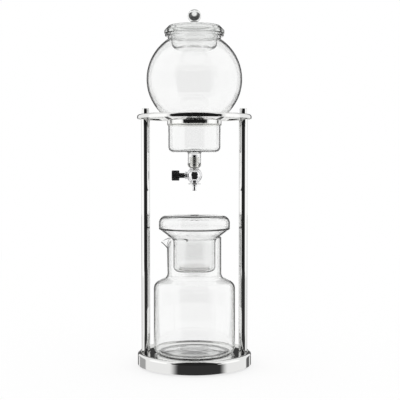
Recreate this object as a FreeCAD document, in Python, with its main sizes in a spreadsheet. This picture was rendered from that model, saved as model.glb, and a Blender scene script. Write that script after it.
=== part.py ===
import FreeCAD, Part
import math
import os
import re
import Sketcher

# A table-top cold drip coffee tower, in millimetres. Z points up and the origin is the centre of the
# footprint, on the table. Water in the glass globe drips through a needle valve into a coffee chamber,
# which stands in the neck of a glass carafe.

os.makedirs("parts", exist_ok=True)
doc = FreeCAD.newDocument("cold_drip_tower")
sheet = doc.addObject("Spreadsheet::Sheet", "sizes")

driving_sizes = {
    # Base dish, spun from sheet, with its plate and feet.
    "base_radius": 80,
    "base_sheet": 1.5,
    "base_rim_height": 19.5,
    "base_rim_width": 5,
    "base_edge_radius": 4.5,
    "base_floor_height": 17,
    "floor_bend": 1.8,
    "foot_gap": 1.8,
    "foot_radius": 9,
    "foot_recess": 1.6,
    "foot_inset": 18,
    "foot_count": 4,
    "plate_thickness": 5,
    "plate_inset": 0.6,
    "boss_radius": 4.5,
    "boss_inset": 35,
    "plate_screw_radius": 2,
    "plate_screw_length": 8,
    "screw_head_radius": 3.6,
    "screw_head_height": 2.2,
    # Rods, their screws and the nuts on top.
    "rod_radius": 6,
    "rod_length": 333.7,
    "rod_inset": 11.5,
    "rod_edge": 0.6,
    "spigot_radius": 3,
    "spigot_length": 7,
    "rod_screw_length": 14,
    "thread_room": 1,
    "rod_head_radius": 5,
    "rod_head_height": 3,
    "washer_radius": 6,
    "washer_thickness": 1,
    "nut_radius": 5,
    "nut_height": 9,
    "nut_dome": 3.2,
    # Top ring with its spherical seat and collar lip.
    "ring_sheet": 1,
    "ring_skirt": 6,
    "ring_edge_radius": 3,
    "collar_drop": 12.3,
    "seat_gap": 0.4,
    "seat_mouth_radius": 45.5,
    "collar_bend": 2.5,
    "gasket_height": 1.8,
    "gasket_width": 1.1,
    # Water globe.
    "globe_radius": 66.7,
    "globe_wall": 2.2,
    "neck_radius": 37,
    "neck_height": 3.8,
    "lip_radius": 41,
    "lip_thickness": 3.6,
    "sump_radius": 36.5,
    "sump_depth": 51.4,
    "sump_corner": 7,
    "nipple_radius": 9.3,
    "nipple_length": 15.6,
    "glass_round": 3,
    # Lid of the water globe.
    "lid_radius": 41.8,
    "lid_edge": 4.4,
    "lid_dome_radius": 35.5,
    "lid_dome_height": 14.6,
    "lid_dome_fall": 3.4,
    "lid_wall": 2.2,
    "plug_radius": 33.2,
    "plug_depth": 21.5,
    "plug_corner": 9,
    "plug_taper": 2,
    "lid_ball_radius": 9.2,
    "lid_stalk_radius": 5,
    "lid_stalk_height": 2.4,
    # Stopper and needle valve.
    "stopper_plug_length": 9,
    "stopper_flange_radius": 9.8,
    "stopper_flange": 2.4,
    "stopper_height": 6.8,
    "shank_radius": 5.2,
    "shank_length": 19,
    "valve_half_height": 10.2,
    "valve_end_radius": 6.1,
    "valve_ball_radius": 10.8,
    "inlet_radius": 1.5,
    "orifice_radius": 1,
    "orifice_length": 2.4,
    "outlet_offset": 3.4,
    "outlet_radius": 1,
    "boss_reach": 11.2,
    "boss_outer_radius": 5,
    "stem_radius": 2.8,
    "stem_clearance": 0.08,
    "stem_tail": 7,
    "needle_radius": 1.7,
    "needle_taper": 2.6,
    "needle_lead": 1.2,
    "needle_tip_radius": 0.3,
    "needle_shoulder": 6,
    "packing_thickness": 1.8,
    "packing_radius": 4.2,
    "packing_nut_radius": 5.2,
    "packing_nut_length": 2,
    "knob_reach": 21.1,
    "knob_radius": 7.2,
    "knob_length": 10.7,
    "knob_round": 1.2,
    "knob_dish": 0.8,
    "flute_radius": 0.9,
    "flute_count": 16,
    "set_screw_radius": 1.2,
    "nozzle_washer": 0.6,
    "nozzle_flange_radius": 8.6,
    "nozzle_flange": 1.7,
    "nozzle_spigot": 3.6,
    "nozzle_spigot_radius": 3.1,
    "hub_radius": 3.9,
    "hub_height": 2.4,
    "drip_radius": 2.6,
    "drip_tip_radius": 3.1,
    "drip_length": 6.6,
    "drip_tip_height": 0.9,
    "drip_bore": 1.5,
    # Carafe.
    "carafe_gap": 5.2,
    "carafe_wall": 2.3,
    "carafe_body_height": 98.5,
    "carafe_shoulder_rise": 9,
    "carafe_shoulder_round": 12,
    "carafe_neck_radius": 37.9,
    "carafe_neck_round": 8,
    "carafe_height": 163.4,
    "carafe_corner": 8,
    "punt_radius": 20,
    "punt_inset": 14.3,
    "punt_height": 3.4,
    "punt_round": 3,
    "spout_reach": 9.1,
    "spout_drop": 7.7,
    "spout_depth": 8.4,
    "spout_nib": 0.5,
    "spout_spread": 0.9,
    "spout_back": 24,
    "spout_tip_round": 1.6,
    "seat_clearance": 0.3,
    # Coffee chamber, its filter and its lid.
    "chamber_radius": 29.5,
    "chamber_wall": 2.4,
    "chamber_tube_length": 44.3,
    "chamber_corner": 7,
    "chamber_waist_round": 8,
    "chamber_top_radius": 50,
    "chamber_flare_rise": 15.6,
    "chamber_rim": 1.8,
    "filter_radius": 21.5,
    "filter_bottom_radius": 19.5,
    "filter_height": 8,
    "gasket_wall": 1.6,
    "gasket_lip": 2.8,
    "chamber_lid_crown": 17.4,
    "chamber_lid_dome": 1,
    "chamber_lid_round": 10,
    "drip_hole_radius": 2.6,
    "drip_dimple_radius": 6,
    "drip_dimple_depth": 2,
}

# Sizes that keep the pieces together: the rods stand in the dish's edge, the carafe between them, and
# the globe sinks into the ring until the ring's mouth fits its ball.
following_sizes = {
    "rod_offset": "=base_radius - rod_inset",
    "ring_radius": "=base_radius",
    "globe_height": "=sqrt((globe_radius + seat_gap) ^ 2 - seat_mouth_radius ^ 2)",
    "foot_circle": "=base_radius - foot_inset",
    "boss_circle": "=base_radius - boss_inset",
    "carafe_radius": "=rod_offset - rod_radius - carafe_gap",
    "punt_foot_radius": "=carafe_radius - punt_inset",
}
sheet_sizes = {**driving_sizes, **following_sizes}
for row, (alias, size) in enumerate(sheet_sizes.items(), start=1):
    sheet.set(f"A{row}", alias)
    sheet.set(f"B{row}", str(size))
    sheet.setAlias(f"B{row}", alias)
doc.recompute()

# Heights and radii that follow from the sizes above, as text that a sketch can be bound to.
shell_bottom = "foot_gap"
floor_under = "(base_floor_height - base_sheet)"
plate_bottom = "(foot_gap + plate_inset)"
plate_top = f"({plate_bottom} + plate_thickness)"
plate_radius = "(base_radius - base_sheet - seat_clearance)"
ring_under = "(base_floor_height + rod_length)"
ring_top = f"({ring_under} + ring_sheet)"
globe_centre = f"({ring_top} + globe_height)"
seat_radius = "(globe_radius + seat_gap)"
lip_clear_radius = "(sump_radius + seat_gap)"
collar_bottom = f"({ring_under} - collar_drop)"
sump_bottom = f"({ring_under} - sump_depth)"
nipple_bottom = f"({sump_bottom} - nipple_length)"
neck_bottom = f"({globe_centre} + sqrt(globe_radius ^ 2 - neck_radius ^ 2))"
lip_bottom = f"({neck_bottom} + neck_height)"
lip_top = f"({lip_bottom} + lip_thickness)"
lid_bottom = f"({lip_top} + seat_clearance)"
lid_crown = f"({lid_bottom} + lid_dome_height)"
stopper_bottom = f"({nipple_bottom} - stopper_height)"
valve_centre = f"({stopper_bottom} - valve_half_height)"
valve_bottom = f"({valve_centre} - valve_half_height)"
nozzle_top = f"({valve_bottom} - nozzle_washer)"
carafe_bottom = "base_floor_height"
carafe_top = "(base_floor_height + carafe_height)"
carafe_shoulder = "(base_floor_height + carafe_body_height + carafe_shoulder_rise)"
flare_slope = "(chamber_flare_rise / (chamber_top_radius - chamber_radius))"
flare_slant = f"sqrt(1 + {flare_slope} ^ 2)"
flare_run = "(carafe_neck_radius - carafe_wall - chamber_radius)"
chamber_waist = f"({carafe_top} + seat_clearance * {flare_slant} - {flare_run} * {flare_slope})"
chamber_bottom = f"({chamber_waist} - chamber_tube_length)"
chamber_top = f"({chamber_waist} + chamber_flare_rise + chamber_rim)"


# The size that a text of aliases works out to.
def size_of(text):
    return float(sheet.evalExpression(text))


# The same text as an expression for a property, which names the sheet before each alias.
def bound(text):
    return re.sub(r"[a-z_]+", lambda word: "sizes." + word[0] if word[0] in sheet_sizes else word[0], text)


def origin_of(body, role):
    return [item for item in body.Origin.OriginFeatures if item.Role == role][0]


def new_body(label):
    body = doc.addObject("PartDesign::Body", label)
    body.Label = label
    return body


def new_sketch(body, role, shift_x="0", shift_z="0"):
    sketch = body.newObject("Sketcher::SketchObject", body.Label + "_sketch")
    sketch.AttachmentSupport = (origin_of(body, role), [""])
    sketch.MapMode = "FlatFace"
    sketch.setExpression("AttachmentOffset.Base.x", bound(shift_x))
    sketch.setExpression("AttachmentOffset.Base.z", bound(shift_z))
    return sketch


# Ties one point of a sketch to its place, with the axes standing for zero.
def place_point(sketch, geometry, end, across, along):
    if across == "0":
        sketch.addConstraint(Sketcher.Constraint("PointOnObject", geometry, end, -2))
    else:
        rule = Sketcher.Constraint("DistanceX", -1, 1, geometry, end, size_of(across))
        sketch.setExpression(f"Constraints[{sketch.addConstraint(rule)}]", bound(across))
    if along == "0":
        sketch.addConstraint(Sketcher.Constraint("PointOnObject", geometry, end, -1))
    else:
        rule = Sketcher.Constraint("DistanceY", -1, 1, geometry, end, size_of(along))
        sketch.setExpression(f"Constraints[{sketch.addConstraint(rule)}]", bound(along))


# Draws a closed outline. A step is a corner (across, along), a corner with a rounding radius
# (across, along, radius), or ("bow", radius, side), which makes the edge up to the next corner an arc
# whose centre is on the left of the way round (side 1) or on its right (side -1).
def draw_outline(sketch, steps):
    corners = [step for step in steps if step[0] != "bow"]
    count = len(corners)
    bows = {}
    seen = 0
    for step in steps:
        if step[0] == "bow":
            bows[seen - 1] = step
        else:
            seen += 1
    spots = [FreeCAD.Vector(size_of(corner[0]), size_of(corner[1]), 0) for corner in corners]
    enters = list(spots)
    leaves = list(spots)
    for index, corner in enumerate(corners):
        if len(corner) == 3:
            back = (spots[index - 1] - spots[index]).normalize()
            ahead = (spots[(index + 1) % count] - spots[index]).normalize()
            setback = size_of(corner[2]) / math.tan(back.getAngle(ahead) / 2)
            enters[index] = spots[index] + back * setback
            leaves[index] = spots[index] + ahead * setback
    edges = []
    for index in range(count):
        start = leaves[index]
        end = enters[(index + 1) % count]
        if index in bows:
            edges.append(add_bow(sketch, start, end, bows[index]))
        else:
            edges.append((sketch.addGeometry(Part.LineSegment(start, end), False), 1, 2))
    for index, corner in enumerate(corners):
        before, _, before_end = edges[index - 1]
        after, after_start, _ = edges[index]
        if len(corner) == 2:
            sketch.addConstraint(Sketcher.Constraint("Coincident", before, before_end, after, after_start))
            place_point(sketch, after, after_start, corner[0], corner[1])
        else:
            add_rounding(sketch, corner, spots[index], enters[index], leaves[index], before, after)


# The arc of an outline between two corners. Sketch arcs run anticlockwise, so the ends may swap.
def add_bow(sketch, start, end, bow):
    radius = size_of(bow[1])
    chord = end - start
    reach = math.sqrt(radius ** 2 - (chord.Length / 2) ** 2)
    left = FreeCAD.Vector(-chord.y, chord.x, 0).normalize()
    centre = (start + end) * 0.5 + left * reach * bow[2]
    angles = [math.atan2(spot.y - centre.y, spot.x - centre.x) for spot in (start, end)]
    if bow[2] < 0:
        angles.reverse()
    circle = Part.Circle(centre, FreeCAD.Vector(0, 0, 1), radius)
    arc = sketch.addGeometry(Part.ArcOfCircle(circle, angles[0], angles[1]), False)
    rule = sketch.addConstraint(Sketcher.Constraint("Radius", arc, radius))
    sketch.setExpression(f"Constraints[{rule}]", bound(bow[1]))
    return (arc, 1, 2) if bow[2] > 0 else (arc, 2, 1)


# The rounding of an outline's corner, whose sharp corner stays in the sketch as a construction point.
def add_rounding(sketch, corner, spot, enter, leave, before, after):
    point = sketch.addGeometry(Part.Point(spot), True)
    place_point(sketch, point, 1, corner[0], corner[1])
    sketch.addConstraint(Sketcher.Constraint("PointOnObject", point, 1, before))
    sketch.addConstraint(Sketcher.Constraint("PointOnObject", point, 1, after))
    radius = size_of(corner[2])
    turn = (enter - spot).cross(leave - spot).z
    inward = (enter - spot).normalize() + (leave - spot).normalize()
    centre = spot + inward.normalize() * math.hypot(radius, (enter - spot).Length)
    angles = [math.atan2(end.y - centre.y, end.x - centre.x) for end in (enter, leave)]
    if turn > 0:
        angles.reverse()
    circle = Part.Circle(centre, FreeCAD.Vector(0, 0, 1), radius)
    arc = sketch.addGeometry(Part.ArcOfCircle(circle, angles[0], angles[1]), False)
    first, last = (1, 2) if turn <= 0 else (2, 1)
    sketch.addConstraint(Sketcher.Constraint("Tangent", before, 2, arc, first))
    sketch.addConstraint(Sketcher.Constraint("Tangent", arc, last, after, 1))
    rule = sketch.addConstraint(Sketcher.Constraint("Radius", arc, radius))
    sketch.setExpression(f"Constraints[{rule}]", bound(corner[2]))


# Makes a feature of a body and checks that it came out.
def add_feature(body, kind, sketch, **settings):
    before = body.Shape.Volume if body.Tip else 0
    feature = body.newObject("PartDesign::" + kind, f"{body.Label}_{kind}")
    feature.Profile = sketch
    for name, setting in settings.items():
        if isinstance(setting, str) and name.startswith("Length"):
            feature.setExpression(name, bound(setting))
        else:
            setattr(feature, name, setting)
    doc.recompute()
    if abs(body.Shape.Volume - before) < 0.01:
        raise RuntimeError(f"{feature.Name} changed nothing")
    return feature


# Turns an outline of (radius, height) steps about the body's upright axis.
def turned(label, steps, shift_x="0"):
    body = new_body(label)
    turn_outline(body, "Revolution", steps, shift_x)
    return body


def turn_outline(body, kind, steps, shift_x="0"):
    sketch = new_sketch(body, "XZ_Plane", shift_x)
    draw_outline(sketch, steps)
    return add_feature(body, kind, sketch, ReferenceAxis=(sketch, ["V_Axis"]), Angle=360)


# Cuts round holes between two heights. Each place is an (x, y) pair.
def bore(body, places, radius, bottom, top):
    sketch = new_sketch(body, "XY_Plane", "0", top)
    for across, along in places:
        middle = FreeCAD.Vector(size_of(across), size_of(along), 0)
        circle = sketch.addGeometry(Part.Circle(middle, FreeCAD.Vector(0, 0, 1), size_of(radius)), False)
        place_point(sketch, circle, 3, across, along)
        rule = sketch.addConstraint(Sketcher.Constraint("Radius", circle, size_of(radius)))
        sketch.setExpression(f"Constraints[{rule}]", bound(radius))
    return add_feature(body, "Pocket", sketch, Length=f"({top}) - ({bottom})")


# Repeats a feature around the body's upright axis.
def repeat_around(body, feature, count):
    pattern = body.newObject("PartDesign::PolarPattern", body.Label + "_pattern")
    pattern.Originals = [feature]
    pattern.Axis = (origin_of(body, "Z_Axis"), [""])
    pattern.Angle = 360
    pattern.setExpression("Occurrences", bound(count))
    body.Tip = pattern
    doc.recompute()
    return pattern


# Rounds the circular edges of a body that have one of the given (radius, height) places.
def round_rings(body, rounding, rings, tolerance=0.01):
    names = []
    rounded = body.Tip
    for number, edge in enumerate(rounded.Shape.Edges, start=1):
        if edge.Curve.TypeId != "Part::GeomCircle":
            continue
        for radius, height in rings:
            near_radius = abs(edge.Curve.Radius - size_of(radius)) < tolerance
            near_height = abs(edge.Curve.Center.z - size_of(height)) < tolerance
            if near_radius and near_height:
                names.append(f"Edge{number}")
    if len(names) < len(rings):
        raise RuntimeError(f"{body.Label} has no such edges to round")
    fillet = body.newObject("PartDesign::Fillet", body.Label + "_rounding")
    fillet.Base = (rounded, names)
    fillet.setExpression("Radius", bound(rounding))
    doc.recompute()


# Lays a body that was turned upright along minus X, at the height of the valve's middle.
def lay_on_valve_axis(body):
    body.Placement.Rotation = FreeCAD.Rotation(FreeCAD.Vector(0, 1, 0), -90)
    body.setExpression("Placement.Base.z", bound(valve_centre))


def make_base_shell():
    inner_rim = "(base_radius - base_rim_width)"
    shell = turned("base_shell", [
        ("0", floor_under),
        ("base_radius - base_sheet", floor_under, "floor_bend"),
        ("base_radius - base_sheet", shell_bottom),
        ("base_radius", shell_bottom),
        ("base_radius", "base_rim_height", "base_edge_radius"),
        (inner_rim, "base_rim_height"),
        (inner_rim, "base_floor_height", "floor_bend / 2"),
        ("0", "base_floor_height"),
    ])
    boss = turn_outline(shell, "Revolution", [
        ("0", f"{plate_top}"),
        ("boss_radius", f"{plate_top}"),
        ("boss_radius", f"{floor_under} + base_sheet / 2"),
        ("0", f"{floor_under} + base_sheet / 2"),
    ], "boss_circle")
    repeat_around(shell, boss, "foot_count")
    hole = bore(shell, [("boss_circle", "0")], "plate_screw_radius + stem_clearance",
                plate_top, f"{plate_bottom} + screw_head_height + plate_screw_length + seat_clearance")
    repeat_around(shell, hole, "foot_count")
    bore(shell, [("rod_offset", "0"), ("-rod_offset", "0")],
         "spigot_radius + seat_clearance", floor_under, "base_floor_height")


def make_ballast_plate():
    plate = turned("ballast_plate", [
        ("0", plate_bottom),
        (plate_radius, plate_bottom),
        (plate_radius, plate_top, "rod_edge"),
        ("0", plate_top),
    ])
    recess = bore(plate, [("foot_circle * sqrt(0.5)", "foot_circle * sqrt(0.5)")],
                  "foot_radius + seat_clearance / 3", plate_bottom, f"{plate_bottom} + foot_recess")
    repeat_around(plate, recess, "foot_count")
    hole = bore(plate, [("boss_circle", "0")], "plate_screw_radius + seat_clearance",
                plate_bottom, plate_top)
    repeat_around(plate, hole, "foot_count")
    sink = bore(plate, [("boss_circle", "0")], "screw_head_radius + seat_clearance",
                plate_bottom, f"{plate_bottom} + screw_head_height")
    repeat_around(plate, sink, "foot_count")
    return plate


def make_rubber_feet():
    feet = new_body("rubber_feet")
    foot = turn_outline(feet, "Revolution", [
        ("0", "0"),
        ("foot_radius", "0", "foot_gap / 3"),
        ("foot_radius", f"{plate_bottom} + foot_recess"),
        ("0", f"{plate_bottom} + foot_recess"),
    ], "foot_circle")
    repeat_around(feet, foot, "foot_count")
    feet.Placement.Rotation = FreeCAD.Rotation(FreeCAD.Vector(0, 0, 1), 45)
    return feet


def make_plate_screws():
    head_bottom = f"({plate_bottom} + screw_head_height)"
    screws = new_body("plate_screws")
    screw = turn_outline(screws, "Revolution", [
        ("0", plate_bottom),
        ("screw_head_radius", plate_bottom, "screw_head_height / 3"),
        ("screw_head_radius", head_bottom),
        ("plate_screw_radius", head_bottom),
        ("plate_screw_radius", f"{head_bottom} + plate_screw_length"),
        ("0", f"{head_bottom} + plate_screw_length"),
    ], "boss_circle")
    repeat_around(screws, screw, "foot_count")
    return screws


# The two screws that hold the rods from below, each with a washer under the dish floor.
def make_rod_fixings():
    washer_bottom = f"({floor_under} - washer_thickness)"
    screws = new_body("rod_screws")
    screw = turn_outline(screws, "Revolution", [
        ("0", f"{washer_bottom} - rod_head_height"),
        ("rod_head_radius", f"{washer_bottom} - rod_head_height", "rod_head_height / 4"),
        ("rod_head_radius", washer_bottom),
        ("spigot_radius", washer_bottom),
        ("spigot_radius", f"{washer_bottom} + rod_screw_length"),
        ("0", f"{washer_bottom} + rod_screw_length"),
    ], "rod_offset")
    repeat_around(screws, screw, "2")
    washers = new_body("rod_washers")
    washer = turn_outline(washers, "Revolution", [
        ("spigot_radius + seat_clearance", washer_bottom),
        ("washer_radius", washer_bottom),
        ("washer_radius", floor_under),
        ("spigot_radius + seat_clearance", floor_under),
    ], "rod_offset")
    repeat_around(washers, washer, "2")


# A rod with a tapped foot and a turned-down top, and the domed nut on it above the ring.
def make_rod(side, place):
    tapped = "(spigot_radius + stem_clearance)"
    depth = f"({floor_under} - washer_thickness + rod_screw_length + thread_room)"
    turned(side + "_rod", [
        (tapped, "base_floor_height"),
        ("rod_radius", "base_floor_height", "rod_edge"),
        ("rod_radius", ring_under, "rod_edge"),
        ("spigot_radius", ring_under),
        ("spigot_radius", f"{ring_top} + spigot_length"),
        ("0", f"{ring_top} + spigot_length"),
        ("0", depth),
        (tapped, depth),
    ], place)
    turned(side + "_finial_nut", [
        (tapped, ring_top),
        ("nut_radius", ring_top, "rod_edge"),
        ("nut_radius", f"{ring_top} + nut_height", "nut_dome"),
        ("0", f"{ring_top} + nut_height"),
        ("0", f"{ring_top} + spigot_length + thread_room / 2"),
        (tapped, f"{ring_top} + spigot_length + thread_room / 2"),
    ], place)


# The ring is a pressed disc: a turned-down skirt outside and a ball-shaped seat inside that runs down
# into the collar's lip, so that the globe hangs in it.
def make_top_ring():
    outer_seat = f"({seat_radius} + ring_sheet)"
    seat_foot = f"({globe_centre} - sqrt({seat_radius} ^ 2 - {lip_clear_radius} ^ 2))"
    under_foot = f"({globe_centre} - sqrt({outer_seat} ^ 2 - ({lip_clear_radius} + ring_sheet) ^ 2))"
    under_mouth = f"sqrt({outer_seat} ^ 2 - (globe_height + ring_sheet) ^ 2)"
    ring = turned("top_ring", [
        (lip_clear_radius, collar_bottom),
        (f"{lip_clear_radius} + ring_sheet", collar_bottom),
        (f"{lip_clear_radius} + ring_sheet", under_foot),
        ("bow", outer_seat, 1),
        (under_mouth, ring_under),
        ("ring_radius - ring_sheet", ring_under, "ring_edge_radius - ring_sheet"),
        ("ring_radius - ring_sheet", f"{ring_top} - ring_skirt"),
        ("ring_radius", f"{ring_top} - ring_skirt"),
        ("ring_radius", ring_top, "ring_edge_radius"),
        ("seat_mouth_radius", ring_top),
        ("bow", seat_radius, -1),
        (lip_clear_radius, seat_foot),
    ])
    round_rings(ring, "collar_bend + ring_sheet", [("seat_mouth_radius", ring_top)])
    round_rings(ring, "collar_bend", [(under_mouth, ring_under)])
    bore(ring, [("rod_offset", "0"), ("-rod_offset", "0")],
         "spigot_radius + stem_clearance", ring_under, ring_top)
    turned("collar_gasket", [
        (lip_clear_radius, f"{collar_bottom} - gasket_height"),
        (f"{lip_clear_radius} + gasket_width", f"{collar_bottom} - gasket_height", "gasket_width / 3"),
        (f"{lip_clear_radius} + gasket_width", collar_bottom),
        (lip_clear_radius, collar_bottom),
    ])


# The globe is one blown piece: a ball with a flared neck, a straight sump below and a nipple under it.
def make_water_globe():
    inner_ball = "(globe_radius - globe_wall)"
    inner_neck = "(neck_radius - globe_wall)"
    inner_sump = "(sump_radius - globe_wall)"
    inner_nipple = "(nipple_radius - globe_wall)"
    globe = turned("water_globe", [
        (inner_nipple, nipple_bottom, "globe_wall / 4"),
        ("nipple_radius", nipple_bottom, "globe_wall / 4"),
        ("nipple_radius", sump_bottom, "globe_wall / 2"),
        ("sump_radius", sump_bottom, "sump_corner"),
        ("sump_radius", f"{globe_centre} - sqrt(globe_radius ^ 2 - sump_radius ^ 2)"),
        ("bow", "globe_radius", 1),
        ("neck_radius", neck_bottom),
        ("neck_radius", lip_bottom, "lip_thickness / 3"),
        ("lip_radius", lip_bottom, "lip_thickness / 3"),
        ("lip_radius", lip_top, "lip_thickness / 3"),
        (inner_neck, lip_top, "globe_wall / 2"),
        (inner_neck, f"{globe_centre} + sqrt({inner_ball} ^ 2 - {inner_neck} ^ 2)"),
        ("bow", inner_ball, -1),
        (inner_sump, f"{globe_centre} - sqrt({inner_ball} ^ 2 - {inner_sump} ^ 2)"),
        (inner_sump, f"{sump_bottom} + globe_wall", "sump_corner - globe_wall"),
        (inner_nipple, f"{sump_bottom} + globe_wall", "globe_wall / 2"),
    ])
    round_rings(globe, "glass_round", [("neck_radius", neck_bottom)])


# The lid is blown hollow: a plug in the globe's neck, a flange on its lip, a low dome and a solid ball.
def make_reservoir_lid():
    plug_bottom = f"({lid_bottom} - plug_depth)"
    shoulder = f"({lid_crown} - lid_dome_fall)"
    stalk_top = f"({lid_crown} + lid_stalk_height)"
    ball_top = f"({stalk_top} + sqrt(lid_ball_radius ^ 2 - lid_stalk_radius ^ 2) + lid_ball_radius)"
    lid = turned("reservoir_lid", [
        ("0", plug_bottom),
        ("plug_radius - plug_taper", plug_bottom, "plug_corner"),
        ("plug_radius", lid_bottom, "lid_wall / 2"),
        ("lid_radius", lid_bottom, "lid_edge / 3"),
        ("lid_radius", f"{lid_bottom} + lid_edge", "lid_edge / 2"),
        ("lid_dome_radius", shoulder, "lid_dome_fall"),
        ("lid_stalk_radius", lid_crown, "lid_stalk_height / 2"),
        ("lid_stalk_radius", stalk_top),
        ("bow", "lid_ball_radius", 1),
        ("0", ball_top),
    ])
    turn_outline(lid, "Groove", [
        ("0", f"{plug_bottom} + lid_wall"),
        ("plug_radius - plug_taper - lid_wall", f"{plug_bottom} + lid_wall", "plug_corner - lid_wall"),
        ("plug_radius - lid_wall", f"{shoulder} - lid_wall", "lid_dome_fall"),
        ("0", f"{lid_crown} - lid_wall"),
    ])


def make_silicone_stopper():
    hole = "(shank_radius + stem_clearance)"
    plug = "(nipple_radius - globe_wall - stem_clearance)"
    turned("silicone_stopper", [
        (hole, stopper_bottom),
        ("valve_end_radius + rod_edge", stopper_bottom, "rod_edge"),
        ("stopper_flange_radius", f"{nipple_bottom} - stopper_flange", "stopper_flange"),
        ("stopper_flange_radius", nipple_bottom, "stopper_flange / 4"),
        (plug, nipple_bottom),
        (plug, f"{nipple_bottom} + stopper_plug_length", "rod_edge"),
        (hole, f"{nipple_bottom} + stopper_plug_length"),
    ])


# Cuts a round hole along minus X at one height, from one distance off the axis to a farther one.
def bore_sideways(body, radius, height, start, end):
    sketch = new_sketch(body, "YZ_Plane", "0", f"-({start})")
    middle = FreeCAD.Vector(0, size_of(height), 0)
    circle = sketch.addGeometry(Part.Circle(middle, FreeCAD.Vector(0, 0, 1), size_of(radius)), False)
    place_point(sketch, circle, 3, "0", height)
    rule = sketch.addConstraint(Sketcher.Constraint("Radius", circle, size_of(radius)))
    sketch.setExpression(f"Constraints[{rule}]", bound(radius))
    add_feature(body, "Pocket", sketch, Length=f"({end}) - ({start})")


# The valve: water comes down the shank, passes the sideways seat that the needle closes, and leaves
# through a hole beside it into the nozzle's socket.
def make_valve_body():
    shank_top = f"({stopper_bottom} + shank_length)"
    ball_rise = "sqrt(valve_ball_radius ^ 2 - valve_end_radius ^ 2)"
    valve = turned("valve_body", [
        ("0", valve_bottom),
        ("valve_end_radius", valve_bottom),
        ("valve_end_radius", f"{valve_centre} - {ball_rise}"),
        ("bow", "valve_ball_radius", 1),
        ("valve_end_radius", f"{valve_centre} + {ball_rise}"),
        ("valve_end_radius", stopper_bottom),
        ("shank_radius", stopper_bottom),
        ("shank_radius", shank_top, "rod_edge"),
        ("0", shank_top),
    ])
    sketch = new_sketch(valve, "YZ_Plane")
    middle = FreeCAD.Vector(0, size_of(valve_centre), 0)
    circle = Part.Circle(middle, FreeCAD.Vector(0, 0, 1), size_of("boss_outer_radius"))
    ring = sketch.addGeometry(circle, False)
    place_point(sketch, ring, 3, "0", valve_centre)
    rule = sketch.addConstraint(Sketcher.Constraint("Radius", ring, size_of("boss_outer_radius")))
    sketch.setExpression(f"Constraints[{rule}]", bound("boss_outer_radius"))
    add_feature(valve, "Pad", sketch, Length="boss_reach", Reversed=True)
    socket_top = f"({valve_bottom} + nozzle_spigot + outlet_radius)"
    bore(valve, [("0", "0")], "inlet_radius", f"{valve_centre} - inlet_radius", shank_top)
    bore(valve, [("0", "0")], "nozzle_spigot_radius + stem_clearance", valve_bottom, socket_top)
    bore(valve, [("-outlet_offset", "0")], "outlet_radius", f"{valve_bottom} + nozzle_spigot", valve_centre)
    bore_sideways(valve, "orifice_radius", valve_centre, "0", "orifice_length")
    bore_sideways(valve, "stem_radius + stem_clearance", valve_centre, "orifice_length", "boss_reach")
    bore_sideways(valve, "packing_radius", valve_centre, "boss_reach - packing_thickness", "boss_reach")


# The pieces that lie along the valve's sideways axis are turned upright, with their height measured
# outwards from the middle of the valve, and then laid down.
def make_gland_and_needle():
    running = "(stem_radius + stem_clearance)"
    packing = turned("gland_packing", [
        (running, "boss_reach - packing_thickness"),
        ("packing_radius", "boss_reach - packing_thickness"),
        ("packing_radius", "boss_reach"),
        (running, "boss_reach"),
    ])
    lay_on_valve_axis(packing)
    nut = turned("packing_nut", [
        (running, "boss_reach"),
        ("packing_nut_radius", "boss_reach", "rod_edge"),
        ("packing_nut_radius", "boss_reach + packing_nut_length", "rod_edge"),
        (running, "boss_reach + packing_nut_length"),
    ])
    lay_on_valve_axis(nut)
    tip = "(orifice_length - needle_lead)"
    needle = turned("needle_stem", [
        ("0", tip),
        ("needle_tip_radius", tip),
        ("needle_radius", f"{tip} + needle_taper"),
        ("needle_radius", "needle_shoulder"),
        ("stem_radius", "needle_shoulder", "rod_edge"),
        ("stem_radius", "knob_reach + stem_tail", "rod_edge"),
        ("0", "knob_reach + stem_tail"),
    ])
    lay_on_valve_axis(needle)


def make_knob():
    hole = "(stem_radius + stem_clearance)"
    knob_end = "(knob_reach + knob_length)"
    knob = turned("valve_knob", [
        (hole, "knob_reach"),
        ("knob_radius", "knob_reach", "knob_round"),
        ("knob_radius", knob_end, "knob_round"),
        ("knob_radius - 2 * knob_round", knob_end),
        ("0", f"{knob_end} - knob_dish"),
        ("0", "knob_reach + stem_tail + stem_clearance"),
        (hole, "knob_reach + stem_tail + stem_clearance"),
    ])
    flute = bore(knob, [("knob_radius + flute_radius / 3", "0")], "flute_radius", "knob_reach", knob_end)
    repeat_around(knob, flute, "flute_count")
    grip_middle = "(knob_reach + stem_tail / 2)"
    bore_sideways(knob, "set_screw_radius + stem_clearance", grip_middle, "stem_radius", "knob_radius")
    lay_on_valve_axis(knob)
    screw = turned("knob_set_screw", [
        ("0", "stem_radius + stem_clearance"),
        ("set_screw_radius", "stem_radius + stem_clearance"),
        ("set_screw_radius", "knob_radius - flute_radius"),
        ("0", "knob_radius - flute_radius"),
    ])
    screw.Placement.Rotation = FreeCAD.Rotation(FreeCAD.Vector(1, 0, 0), 180)
    screw.setExpression("Placement.Base.x", bound(f"-{grip_middle}"))
    screw.setExpression("Placement.Base.z", bound(valve_centre))


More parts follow.
